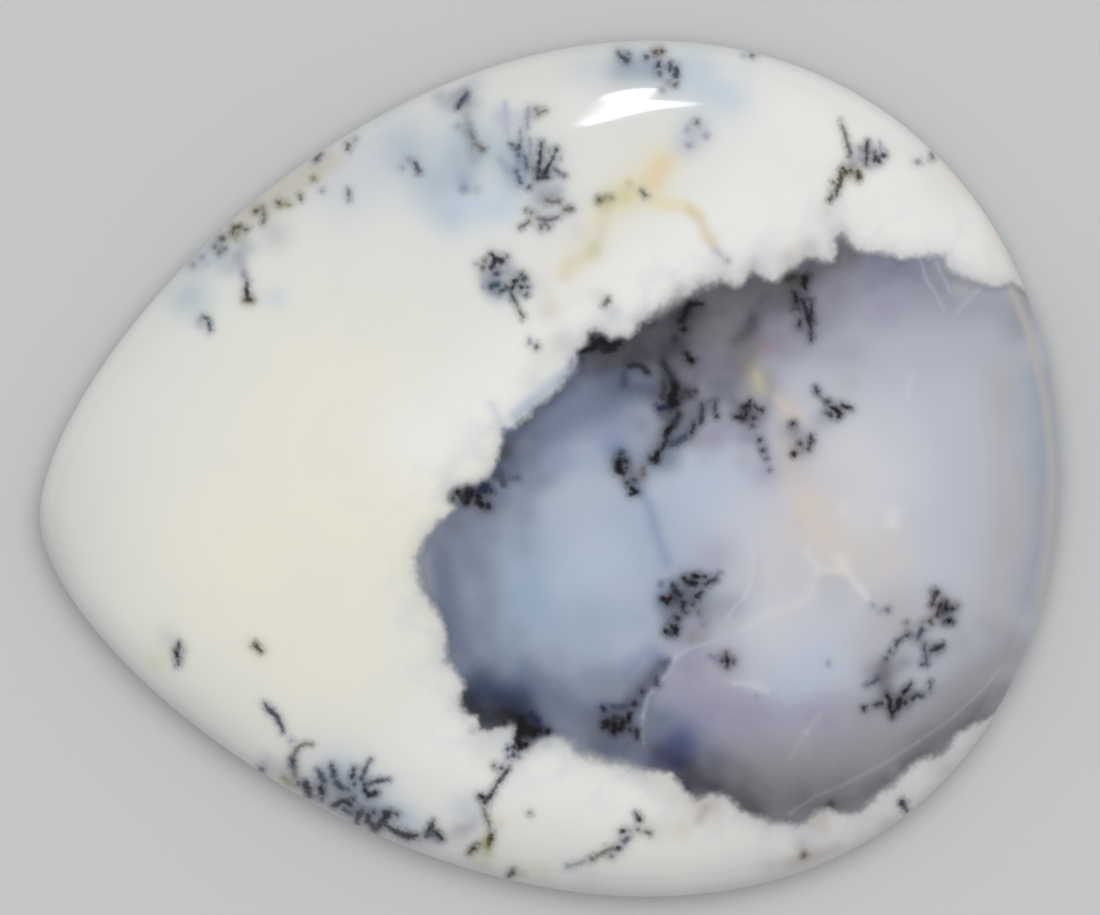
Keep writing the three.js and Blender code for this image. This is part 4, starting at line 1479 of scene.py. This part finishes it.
def stone_curves(tree, sizes):
    """The outline's four curves, clockwise from the nose, as Bezier Segment nodes."""

    def moved(place, x=0.0, y=0.0):
        return join_vectors(tree, "ADD", place, vector(tree, x, y))

    def back_from(value):
        return times(tree, value, -1.0)

    half_length = times(tree, sizes["Length"], 0.5)
    half_width = times(tree, sizes["Width"], 0.5)
    nose = vector(tree, back_from(half_length), sizes["Nose Y"])
    left = vector(tree, sizes["Left flank X"], half_width)
    end = vector(tree, half_length, sizes["Broad end Y"])
    right = vector(tree, sizes["Right flank X"], back_from(half_width))
    leaving = (
        moved(nose, y=sizes["Nose left reach"]),
        moved(left, x=sizes["Left flank end reach"]),
        moved(end, y=back_from(sizes["Broad end right reach"])),
        moved(right, x=back_from(sizes["Right flank nose reach"])),
    )
    arriving = (
        moved(left, x=back_from(sizes["Left flank nose reach"])),
        moved(end, y=sizes["Broad end left reach"]),
        moved(right, x=sizes["Right flank end reach"]),
        moved(nose, y=back_from(sizes["Nose right reach"])),
    )
    starts = (nose, left, end, right)
    stops = (left, end, right, nose)
    return [
        add_node(
            tree,
            "GeometryNodeCurvePrimitiveBezierSegment",
            {
                "Resolution": POINTS_PER_CURVE,
                "Start": start,
                "Start Handle": leave,
                "End Handle": arrive,
                "End": stop,
            },
            mode="POSITION",
        ).outputs[0]
        for start, leave, arrive, stop in zip(starts, leaving, arriving, stops)
    ]


def rim_place(tree, sizes, turn):
    """The outline's place at each point's turn, on the one of the four curves that it falls on."""
    curves = stone_curves(tree, sizes)
    quarters = times(tree, turn, len(curves))
    quarter = calculate(tree, "MINIMUM", calculate(tree, "FLOOR", quarters), len(curves) - 1)
    along = less(tree, quarters, quarter)
    number = add_node(tree, "FunctionNodeFloatToInt", {0: quarter}, rounding_mode="ROUND").outputs[0]
    rim = add_node(tree, "GeometryNodeIndexSwitch", {"Index": number}, data_type="VECTOR")
    while len(rim.index_switch_items) < len(curves):
        rim.index_switch_items.new()
    for place, curve in enumerate(curves):
        sampled = add_node(
            tree,
            "GeometryNodeSampleCurve",
            {"Curves": curve, "Factor": along},
            mode="FACTOR",
            use_all_curves=True,
        )
        tree.links.new(sampled.outputs["Position"], rim.inputs[1 + place])
    return rim.outputs[0]


def level_section(tree, sizes, level):
    """Each level's share of the outline's reach, and its height."""
    up_dome = calculate(tree, "ADD", level, 0.0, clamp=True)
    down_girdle = calculate(tree, "SUBTRACT", level, RIM, clamp=True)
    down_bevel = calculate(tree, "SUBTRACT", level, GIRDLE_FOOT, clamp=True)
    over_back = calculate(tree, "SUBTRACT", level, BACK_EDGE, clamp=True)

    dome = calculate(tree, "SINE", times(tree, up_dome, math.pi / 2))
    bevel = times(tree, down_bevel, less(tree, 1.0, sizes["Back share"]))
    back = times(tree, over_back, sizes["Back share"])
    share = less(tree, less(tree, dome, bevel), back)

    flat = calculate(tree, "POWER", dome, sizes["Dome flatness"])
    rise = calculate(tree, "SQRT", calculate(tree, "MAXIMUM", less(tree, 1.0, flat), 0.0))
    dome_height = less(tree, sizes["Thickness"], sizes["Girdle top"])
    girdle_height = less(tree, sizes["Girdle top"], sizes["Girdle bottom"])
    height = calculate(tree, "MULTIPLY_ADD", rise, dome_height, sizes["Girdle top"])
    height = calculate(tree, "MINIMUM", height, sizes["Thickness"])
    height = less(tree, height, times(tree, down_girdle, girdle_height))
    return share, less(tree, height, times(tree, down_bevel, sizes["Girdle bottom"]))


def cutting_tree(names):
    """Geometry Nodes that cut the stone: a sheet with a level and a turn at each point becomes the skin."""
    tree = bpy.data.node_groups.new(CUTTING_TREE, "GeometryNodeTree")
    tree.interface.new_socket("Geometry", in_out="INPUT", socket_type="NodeSocketGeometry")
    for name in names:
        tree.interface.new_socket(name, in_out="INPUT", socket_type="NodeSocketFloat")
    tree.interface.new_socket("Agate", in_out="INPUT", socket_type="NodeSocketMaterial")
    tree.interface.new_socket("Geometry", in_out="OUTPUT", socket_type="NodeSocketGeometry")
    sizes = add_node(tree, "NodeGroupInput").outputs

    level, turn = (
        add_node(tree, "GeometryNodeInputNamedAttribute", {"Name": name}, data_type="FLOAT").outputs[0]
        for name in ("level", "turn")
    )
    share, height = level_section(tree, sizes, level)
    crown = vector(tree, sizes["Crown X"], sizes["Crown Y"])
    out = join_vectors(tree, "SUBTRACT", rim_place(tree, sizes, turn), crown)
    drawn = add_node(tree, "ShaderNodeVectorMath", {0: out, "Scale": share}, operation="SCALE").outputs[0]
    place = join_vectors(tree, "ADD", join_vectors(tree, "ADD", drawn, crown), vector(tree, z=height))
    shaped = add_node(tree, "GeometryNodeSetPosition", {"Geometry": sizes["Geometry"], "Position": place})
    real = add_node(tree, "GeometryNodeRealizeInstances", {"Geometry": shaped.outputs[0]})
    faced = add_node(
        tree,
        "GeometryNodeSetMaterial",
        {"Geometry": real.outputs[0], "Material": sizes["Agate"]},
    )
    add_node(tree, "NodeGroupOutput", {"Geometry": faced.outputs[0]})
    return tree


def store(mesh, name, kind, values):
    """Keeps values on the mesh's points as a named attribute."""
    field = "value" if kind == "FLOAT" else "color"
    mesh.attributes.new(name, kind, "POINT").data.foreach_set(field, values.astype(np.float32).ravel())


def store_colour(mesh, name, colour):
    """Keeps sRGB colours on the mesh's points, as light."""
    store(mesh, name, "FLOAT_COLOR", np.concatenate([linear(colour), np.ones((len(colour), 1))], 1))


def points_of(mesh):
    """The mesh's points as an array, in metres."""
    points = np.zeros(len(mesh.vertices) * 3, np.float32)
    mesh.vertices.foreach_get("co", points)
    return points.reshape(-1, 3).astype(float)


def cut(level, turn, faces, settings, agate=None):
    """A plain mesh of the skin: the sheet's points, placed by the cutting tree."""
    sheet = bpy.data.meshes.new("cabochon")
    sheet.from_pydata(np.zeros((len(level), 3)), [], faces)
    store(sheet, "level", "FLOAT", level)
    store(sheet, "turn", "FLOAT", turn)
    blank = bpy.data.objects.new("blank", sheet)
    bpy.context.scene.collection.objects.link(blank)
    values = stone_values(settings)
    modifier = blank.modifiers.new("Cut", "NODES")
    modifier.node_group = bpy.data.node_groups.get(CUTTING_TREE) or cutting_tree(values)
    values["Agate"] = agate
    for socket in modifier.node_group.interface.items_tree:
        if socket.in_out == "INPUT" and socket.name in values:
            modifier[socket.identifier] = values[socket.name]
    depsgraph = bpy.context.evaluated_depsgraph_get()
    mesh = bpy.data.meshes.new_from_object(blank.evaluated_get(depsgraph))
    bpy.data.objects.remove(blank)
    return mesh


def facet_sizes(pixels, settings, merge):
    """Wanted facet size at each sketch point, in metres: finest at the markings, coarser away from them."""
    marks, _ = join_dendrites(pixels, merge)
    window, _ = window_distance(pixels)
    finest = settings.finest_facet
    near_marks = finest + np.maximum(np.abs(marks) - INK_BAND, 0) / PX_PER_MM * MM
    near_edge = COARSER_AT_EDGE * finest + np.maximum(np.abs(window) - EDGE_BAND, 0) / PX_PER_MM * MM
    sizes = np.minimum(near_marks, near_edge)
    for _, _, *chain in WHITE_CLOUDS + WINDOW_CLOUDS + VEINS:
        reach = min(reach for _, _, reach in chain)
        near = near_chain(pixels, chain, CLOUD_SPREAD * reach + CLOUD_MARGIN)
        gap = np.maximum(chain_distance(pixels[near], chain) - reach, 0)
        sizes[near] = np.minimum(sizes[near], (np.maximum(reach, CLOUD_FACET) + gap) / PX_PER_MM * MM)
    return sizes


def sheet_side(sketch, settings, back):
    """Levels, turns and facets of the dome or the back, fine where the markings are."""
    level, turn, squares = sketch
    mesh = cut(BACK_MIDDLE - level if back else level, turn, squares, settings)
    places = points_of(mesh)
    bpy.data.meshes.remove(mesh)
    wanted = facet_sizes(to_photo(places), settings, MERGE_BEHIND if back else MERGE)
    if back:
        wanted = np.minimum(wanted * COARSER_BEHIND, COARSEST_BACK)
    else:
        wanted = np.minimum(wanted, COARSEST_TOP)
    rows = SKETCH_GRID + 1
    span = wanted_span(places.reshape(rows, rows, 3), wanted.reshape(rows, rows))
    across, along, facets = split_sheet(span)
    level, turn = square_to_round(across, along)
    return (BACK_MIDDLE - level, turn, facets[:, ::-1]) if back else (level, turn, facets)


def sheet_sides(settings):
    """The dome's side and the back's, split where the sketch says."""
    row = np.linspace(-1, 1, SKETCH_GRID + 1)
    across, along = np.meshgrid(row, row)
    level, turn = square_to_round(across.ravel(), along.ravel())
    corner = np.arange(SKETCH_GRID * (SKETCH_GRID + 1)).reshape(SKETCH_GRID, -1)[:, :-1].ravel()
    squares = np.stack([corner, corner + 1, corner + SKETCH_GRID + 2, corner + SKETCH_GRID + 1], 1)
    sketch = level, turn, squares.tolist()
    return sheet_side(sketch, settings, back=False), sheet_side(sketch, settings, back=True)


def skin_sheet(settings):
    """One closed sheet: the dome, rows down the girdle and bevel, and the back."""
    (dome_level, dome_turn, dome_facets), (back_level, back_turn, back_facets) = sheet_sides(settings)
    top_rim = np.flatnonzero(dome_level == RIM)
    top_rim = top_rim[np.argsort(dome_turn[top_rim])]
    back_rim = np.flatnonzero(back_level == BACK_EDGE)
    back_rim = back_rim[np.argsort(back_turn[back_rim])] + len(dome_level)
    level = [dome_level, back_level]
    turn = [dome_turn, back_turn]
    faces = [*dome_facets.tolist(), *(back_facets + len(dome_level)).tolist()]
    upper = top_rim
    start = len(dome_level) + len(back_level)
    for row in (*GIRDLE_ROWS, *BEVEL_ROWS):
        if row == BACK_EDGE:
            lower = back_rim
        else:
            lower = start + np.arange(len(top_rim))
            start += len(top_rim)
            level.append(np.full(len(top_rim), row))
            turn.append(dome_turn[top_rim])
        faces += np.stack([upper, np.roll(upper, -1), np.roll(lower, -1), lower], 1).tolist()
        upper = lower
    return np.concatenate(level), np.concatenate(turn), faces


def mark_stone(mesh, level):
    """Works the markings out for every point of the skin and keeps them as attributes."""
    pixels = round_the_rim(to_photo(points_of(mesh)), level)
    behind = level >= BACK_EDGE
    marks, inks = join_dendrites(pixels, MERGE)
    marks_behind, inks_behind = join_dendrites(pixels[behind], MERGE_BEHIND)
    marks[behind] = marks_behind + SHRINK_BEHIND
    inks[behind] = inks_behind
    window, fade = window_distance(pixels)
    store(mesh, "dendrite_distance", "FLOAT", marks / PX_PER_MM)
    store(mesh, "window_distance", "FLOAT", window / PX_PER_MM)
    store(mesh, "window_fade", "FLOAT", fade / PX_PER_MM)
    store_colour(mesh, "dendrite_colour", inks)
    smoke = tuple(
        (ink, SMOKE_STRENGTH, *((x, y, width + SMOKE_REACH) for x, y, width in chain))
        for ink, *chain in DENDRITES
    )
    store_colour(mesh, "white_colour", paint(pixels, "milk", WHITE_CLOUDS + smoke))
    clear = paint(pixels, "lavender", WINDOW_CLOUDS + VEINS + smoke)
    clear[behind] = paint(pixels[behind], "lavender", WINDOW_CLOUDS + smoke)
    store_colour(mesh, "window_colour", clear)


def unwrap(mesh, level):
    """Lays the dome, girdle and bevel flat as one round patch, with the back small beside it."""
    points = points_of(mesh)[:, :2] - np.array([CROWN_X, CROWN_Y])
    dome = np.sin(np.pi / 2 * level.clip(0, RIM))
    share = np.where(dome > 0, dome, 1) - (1 - BACK_SHARE) * (level - GIRDLE_FOOT).clip(0, 1)
    fall = 1 - np.sqrt(np.maximum(1 - dome**DOME_FLATNESS, 0))
    reach = PLAN_SHARE * dome + FALL_SHARE * fall + ROW_SHARE * (level - RIM).clip(0, 2)
    scale = PATCH_WIDTH / (PATCH_REACH * (BOX_HIGH.x - BOX_LOW.x))
    half_height = PATCH_REACH * (BOX_HIGH.y - BOX_LOW.y) / 2 * scale
    middle = np.array([0.5 + CROWN_X * PATCH_REACH * scale, PATCH_TOP - half_height])
    top = middle + points * (reach / share)[:, None] * scale
    small = BACK_PATCH_WIDTH / (BOX_HIGH.y - BOX_LOW.y)
    back = np.array(BACK_PATCH_MIDDLE) + points * np.array([1, -1]) * small

    corners = np.zeros(len(mesh.loops), np.int32)
    mesh.loops.foreach_get("vertex_index", corners)
    starts = np.zeros(len(mesh.polygons), np.int32)
    totals = np.zeros(len(mesh.polygons), np.int32)
    mesh.polygons.foreach_get("loop_start", starts)
    mesh.polygons.foreach_get("loop_total", totals)
    behind = np.repeat(np.minimum.reduceat(level[corners], starts) >= BACK_EDGE, totals)
    places = np.where(behind[:, None], back[corners], top[corners])
    mesh.uv_layers.new(name="OFBake").data.foreach_set("uv", places.astype(np.float32).ravel())


def soften_facets(mesh, level):
    """Smooth all over but for the hard edges at the girdle's foot and round the back."""
    mesh.shade_smooth()
    edges = np.zeros(len(mesh.edges) * 2, np.int32)
    mesh.edges.foreach_get("vertices", edges)
    ends = level[edges.reshape(-1, 2)]
    hard = (ends == GIRDLE_FOOT).all(axis=1) | (ends == BACK_EDGE).all(axis=1)
    mesh.attributes.new("sharp_edge", "BOOLEAN", "EDGE").data.foreach_set("value", hard)


def attribute(tree, name, output="Fac"):
    """A value that the mesh keeps at its points."""
    return add_node(tree, "ShaderNodeAttribute", attribute_name=name).outputs[output]


def noise(tree, place, per_mm, detail, roughness, distortion=0.0):
    """Smooth noise from 0 to 1, with so many swells a millimetre."""
    inputs = {
        "Vector": place,
        "Scale": per_mm / MM,
        "Detail": detail,
        "Roughness": roughness,
        "Distortion": distortion,
    }
    return add_node(tree, "ShaderNodeTexNoise", inputs).outputs["Fac"]


def cells(tree, place, per_mm):
    """Distance to the middle of the nearest round cell, about 0 to 0.9."""
    return add_node(tree, "ShaderNodeTexVoronoi", {"Vector": place, "Scale": per_mm / MM}).outputs["Distance"]


def lobes(tree, place, per_mm, size):
    """Round cells turned into a swing of this size, as much in as out."""
    return times(tree, less(tree, cells(tree, place, per_mm), CELL_MEAN), size)


def swing(tree, value, size):
    """Noise turned into a swing of plus or minus size."""
    return times(tree, less(tree, value, 0.5), 2 * size)


def inverse(tree, value):
    """1 where the value is 0, and 0 where it is 1."""
    return less(tree, 1.0, value)


def step(tree, value, low, high):
    """A smooth step from 0 at the low value to 1 at the high one."""
    inputs = {"Value": value, "From Min": low, "From Max": high}
    return add_node(tree, "ShaderNodeMapRange", inputs, interpolation_type="SMOOTHSTEP").outputs[0]


def blend(tree, factor, below, above):
    """One colour over another, each a socket or a name."""
    mixed = add_node(tree, "ShaderNodeMix", {"Factor": factor}, data_type="RGBA")
    for socket, entry in ((mixed.inputs[MIX_BELOW], below), (mixed.inputs[MIX_ABOVE], above)):
        if isinstance(entry, str):
            socket.default_value = (*linear(srgb(entry)), 1)
        else:
            tree.links.new(entry, socket)
    return mixed.outputs[MIX_RESULT]


def white_and_window(tree, place, fringe, cloud):
    """The ground of the stone: white that ends in round lobes, like a cloud, and the clear window."""
    fade = attribute(tree, "window_fade")
    into = plus(
        tree,
        attribute(tree, "window_distance"),
        lobes(tree, place, LOBES_PER_MM, LOBE_SWING),
        lobes(tree, place, SMALL_LOBES_PER_MM, SMALL_LOBE_SWING),
        swing(tree, fringe, FRINGE_SWING),
    )
    clear = step(tree, into, times(tree, fade, -1.0), fade)
    outside = calculate(tree, "MINIMUM", into, 0.0)
    thin = calculate(tree, "EXPONENT", calculate(tree, "DIVIDE", outside, THINNING_REACH))
    clear = inverse(tree, times(tree, inverse(tree, clear), inverse(tree, times(tree, thin, THINNING))))

    # Painted shade: the white is brightest at the lobes and greyer in the creases between them.
    folds = plus(tree, cells(tree, place, CREASES_PER_MM), swing(tree, fringe, CREASE_SHIFT))
    beside = step(tree, into, *CREASE_BAND)
    crease = times(tree, beside, step(tree, folds, *CREASE_RANGE), CREASE_STRENGTH)
    white = blend(tree, crease, attribute(tree, "white_colour", "Color"), "cool white")
    haze = times(tree, step(tree, cloud, *WHITE_HAZE_RANGE), WHITE_HAZE_STRENGTH)
    white = blend(tree, haze, white, "cool white")

    # Painted shade: the window darkens towards the white that stands over it, as if in its shadow.
    shade = times(tree, inverse(tree, step(tree, into, *SHADE_BAND)), SHADE_STRENGTH)
    window = blend(tree, shade, attribute(tree, "window_colour", "Color"), "soot")
    haze = times(tree, step(tree, cloud, *WINDOW_HAZE_RANGE), WINDOW_HAZE_STRENGTH)
    window = blend(tree, haze, window, "pearl")
    return blend(tree, clear, white, window)


def dendrite_cover(tree, place, fringe):
    """How much the dendrites cover: a soft feathery body in a veil, with stray crumbs beside it."""
    depth = attribute(tree, "dendrite_distance")
    crumb = noise(tree, place, CRUMBS_PER_MM, detail=1.5, roughness=0.5)
    ragged = plus(
        tree,
        depth,
        lobes(tree, place, CLUMPS_PER_MM, CLUMP_SWING),
        swing(tree, fringe, FRINGE_SWING),
        swing(tree, crumb, CRUMB_SWING),
    )
    body = times(tree, inverse(tree, step(tree, ragged, *BODY_BAND)), BODY_STRENGTH)
    feathered = plus(tree, depth, swing(tree, fringe, FEATHER_SWING))
    veil = times(tree, inverse(tree, step(tree, feathered, *VEIL_BAND)), VEIL_STRENGTH)
    beside = inverse(tree, step(tree, depth, *CRUMB_BAND))
    crumbs = times(tree, beside, step(tree, crumb, *CRUMB_RANGE), CRUMB_STRENGTH)
    cover = calculate(tree, "MAXIMUM", calculate(tree, "MAXIMUM", body, veil), crumbs)
    return inverse(tree, calculate(tree, "POWER", inverse(tree, cover), COVER_POWER))


def agate_material(settings):
    """Polished agate: white and clear fields, a ragged edge between them, and the dendrites."""
    material = bpy.data.materials.new("polished dendritic agate")
    material.use_nodes = True
    tree = material.node_tree
    tree.nodes.clear()
    place = add_node(tree, "ShaderNodeTexCoord").outputs["Object"]
    fringe = noise(tree, place, FRINGE_PER_MM, detail=2.0, roughness=0.55)
    cloud = noise(tree, place, CLOUDS_PER_MM, detail=4.0, roughness=0.5, distortion=0.4)
    ground = white_and_window(tree, place, fringe, cloud)
    ink = attribute(tree, "dendrite_colour", "Color")
    colour = blend(tree, dendrite_cover(tree, place, fringe), ground, ink)

    # The dome is polished, a touch unevenly, and the back is only ground.
    smoothest = settings.polish_roughness - POLISH_SWING / 2
    rough = calculate(tree, "MULTIPLY_ADD", cloud, POLISH_SWING, smoothest)
    ground_back = step(tree, attribute(tree, "level"), BACK_EDGE - GROUND_BLEND, BACK_EDGE)
    gain = settings.back_roughness - settings.polish_roughness
    rough = calculate(tree, "MULTIPLY_ADD", ground_back, gain, rough)
    inputs = {"Base Color": colour, "Roughness": rough, "IOR": AGATE_IOR}
    surface = add_node(tree, "ShaderNodeBsdfPrincipled", inputs)
    add_node(tree, "ShaderNodeOutputMaterial", {"Surface": surface.outputs[0]})
    return material


class AGATE_OT_cabochon(bpy.types.Operator):
    """Cut the stone and colour it"""

    bl_idname = "agate.cabochon"
    bl_label = "Cabochon"

    def execute(self, context):
        settings = context.scene.agate_stone
        agate = agate_material(settings)
        level, turn, faces = skin_sheet(settings)
        mesh = cut(level, turn, faces, settings, agate)
        mesh.name = "agate cabochon"
        mark_stone(mesh, level)
        unwrap(mesh, level)
        soften_facets(mesh, level)
        stone = bpy.data.objects.new("agate_cabochon", mesh)
        context.scene.collection.objects.link(stone)
        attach(stone, "root")
        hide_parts("cabochon")
        return {"FINISHED"}


def floor_material(settings):
    """A pale matt finish."""
    material = bpy.data.materials.new("matt floor")
    material.use_nodes = True
    surface = material.node_tree.nodes["Principled BSDF"]
    surface.inputs["Base Color"].default_value = (*settings.floor_colour, 1)
    surface.inputs["Roughness"].default_value = FLOOR_ROUGHNESS
    surface.inputs["Specular IOR Level"].default_value = FLOOR_SHINE
    return material


def add_floor(settings):
    """A wide pale floor, just under the stone."""
    sides = ((-1, -1), (1, -1), (1, 1), (-1, 1))
    corners = [(x * FLOOR_REACH, y * FLOOR_REACH, -FLOOR_DROP) for x, y in sides]
    mesh = bpy.data.meshes.new("floor")
    mesh.from_pydata(corners, [], [(0, 1, 2, 3)])
    mesh.materials.append(floor_material(settings))
    floor = bpy.data.objects.new("floor", mesh)
    bpy.context.scene.collection.objects.link(floor)


def mirror_direction(stone, pixel):
    """Where the dome shows a place of the photograph, and which way it mirrors the camera's line there."""
    x = (pixel[0] - STONE_PX[0]) / PX_PER_MM * MM
    y = (STONE_PX[1] - pixel[1]) / PX_PER_MM * MM
    spot = Matrix.Rotation(-STONE_TURN, 3, "Z") @ Vector((x, y, 0))
    found, hit, _, face = stone.ray_cast(spot + Vector((0, 0, 1)), Vector((0, 0, -1)))
    if not found:
        raise RuntimeError("a corner of the highlight misses the stone")
    near = [stone.data.vertices[i] for i in stone.data.polygons[face].vertices]
    weights = [1 / max((corner.co - hit).length, SMALLEST_GAP) for corner in near]
    normal = sum((corner.normal * weight for corner, weight in zip(near, weights)), Vector()).normalized()
    return hit, normal * (2 * normal.z) - Vector((0, 0, 1))


def softbox_material(settings):
    """Cloth that glows, brighter where its glow attribute says."""
    material = bpy.data.materials.new("softbox cloth")
    material.use_nodes = True
    tree = material.node_tree
    tree.nodes.clear()
    strength = times(tree, attribute(tree, "glow"), settings.softbox_strength)
    light = add_node(tree, "ShaderNodeEmission", {"Strength": strength})
    add_node(tree, "ShaderNodeOutputMaterial", {"Surface": light.outputs[0]})
    return material


def add_softbox(stone, settings):
    """A small bright softbox, shaped and placed so that the dome mirrors it in one curved patch."""
    points, glow = [], []
    for *pixel, brightness in (HIGHLIGHT_MIDDLE, *HIGHLIGHT_CORNERS):
        hit, away = mirror_direction(stone, pixel)
        points.append(hit + away * SOFTBOX_DISTANCE)
        glow.append(brightness)
    count = len(HIGHLIGHT_CORNERS)
    mesh = bpy.data.meshes.new("softbox")
    mesh.from_pydata(points, [], [(0, 1 + i, 1 + (i + 1) % count) for i in range(count)])
    store(mesh, "glow", "FLOAT", np.array(glow))
    mesh.materials.append(softbox_material(settings))
    softbox = bpy.data.objects.new("softbox", mesh)
    softbox.visible_camera = False
    softbox.visible_diffuse = False
    bpy.context.scene.collection.objects.link(softbox)


def add_lights(settings):
    """One broad main light from the far side, and even light all round."""
    sun = bpy.data.lights.new("main light", "SUN")
    sun.energy = settings.main_strength
    sun.angle = MAIN_LIGHT_SPREAD
    main = bpy.data.objects.new("main light", sun)
    main.rotation_euler = MAIN_LIGHT_TILT
    main.visible_glossy = False
    bpy.context.scene.collection.objects.link(main)

    world = bpy.data.worlds.new("even light")
    world.use_nodes = True
    tree = world.node_tree
    tree.nodes.clear()
    mirrored = add_node(tree, "ShaderNodeLightPath").outputs["Is Glossy Ray"]
    full = settings.sky_strength
    strength = calculate(tree, "MULTIPLY_ADD", mirrored, (MIRRORED_SKY_SHARE - 1) * full, full)
    background = add_node(tree, "ShaderNodeBackground", {"Color": (1, 1, 1, 1), "Strength": strength})
    add_node(tree, "ShaderNodeOutputWorld", {"Surface": background.outputs[0]})
    bpy.context.scene.world = world


def add_camera(settings):
    """Looks straight down, turned so that the stone lies as in the photograph."""
    middle_x = (PHOTO_WIDTH / 2 - STONE_PX[0]) / PX_PER_MM * MM
    middle_y = (STONE_PX[1] - PHOTO_HEIGHT / 2) / PX_PER_MM * MM
    lens = bpy.data.cameras.new("camera")
    lens.sensor_width = SENSOR_WIDTH
    lens.lens = SENSOR_WIDTH * settings.camera_height / (PHOTO_WIDTH / PX_PER_MM * MM)
    lens.clip_start = CAMERA_NEAR
    lens.clip_end = CAMERA_FAR
    camera = bpy.data.objects.new("camera", lens)
    place = Matrix.Rotation(-STONE_TURN, 3, "Z") @ Vector((middle_x, middle_y, 0))
    camera.location = (place.x, place.y, GIRDLE_TOP + settings.camera_height)
    camera.rotation_euler = (0, 0, -STONE_TURN)
    bpy.context.scene.collection.objects.link(camera)
    bpy.context.scene.camera = camera


class AGATE_OT_stage(bpy.types.Operator):
    """Set the floor, the lights and the camera"""

    bl_idname = "agate.stage"
    bl_label = "Stage"

    def execute(self, context):
        stone = bpy.data.objects.get("agate_cabochon")
        if stone is None:
            raise RuntimeError("cut the cabochon before the stage is set")
        settings = context.scene.agate_stage
        context.scene.view_settings.view_transform = "Standard"
        add_floor(settings)
        add_lights(settings)
        add_softbox(stone, settings)
        add_camera(settings)
        return {"FINISHED"}


class AGATE_PT_panel(bpy.types.Panel):
    """The steps that make the stone, in order"""

    bl_idname = "AGATE_PT_panel"
    bl_label = "Agate cabochon"
    bl_space_type = "VIEW_3D"
    bl_region_type = "UI"
    bl_category = "Agate"

    def draw(self, context):
        for settings, group, operator in (
            (context.scene.agate_stone, StoneSettings, AGATE_OT_cabochon),
            (context.scene.agate_stage, StageSettings, AGATE_OT_stage),
        ):
            for name in group.__annotations__:
                self.layout.prop(settings, name)
            self.layout.operator(operator.bl_idname)


CLASSES = (StoneSettings, StageSettings, AGATE_OT_cabochon, AGATE_OT_stage, AGATE_PT_panel)


def register():
    for made in CLASSES:
        bpy.utils.register_class(made)
    bpy.types.Scene.agate_stone = bpy.props.PointerProperty(type=StoneSettings)
    bpy.types.Scene.agate_stage = bpy.props.PointerProperty(type=StageSettings)


def unregister():
    del bpy.types.Scene.agate_stage
    del bpy.types.Scene.agate_stone
    for made in reversed(CLASSES):
        bpy.utils.unregister_class(made)


def main():
    register()
    bpy.ops.agate.cabochon()
    bpy.ops.agate.stage()
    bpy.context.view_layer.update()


if __name__ == "__main__":
    main()
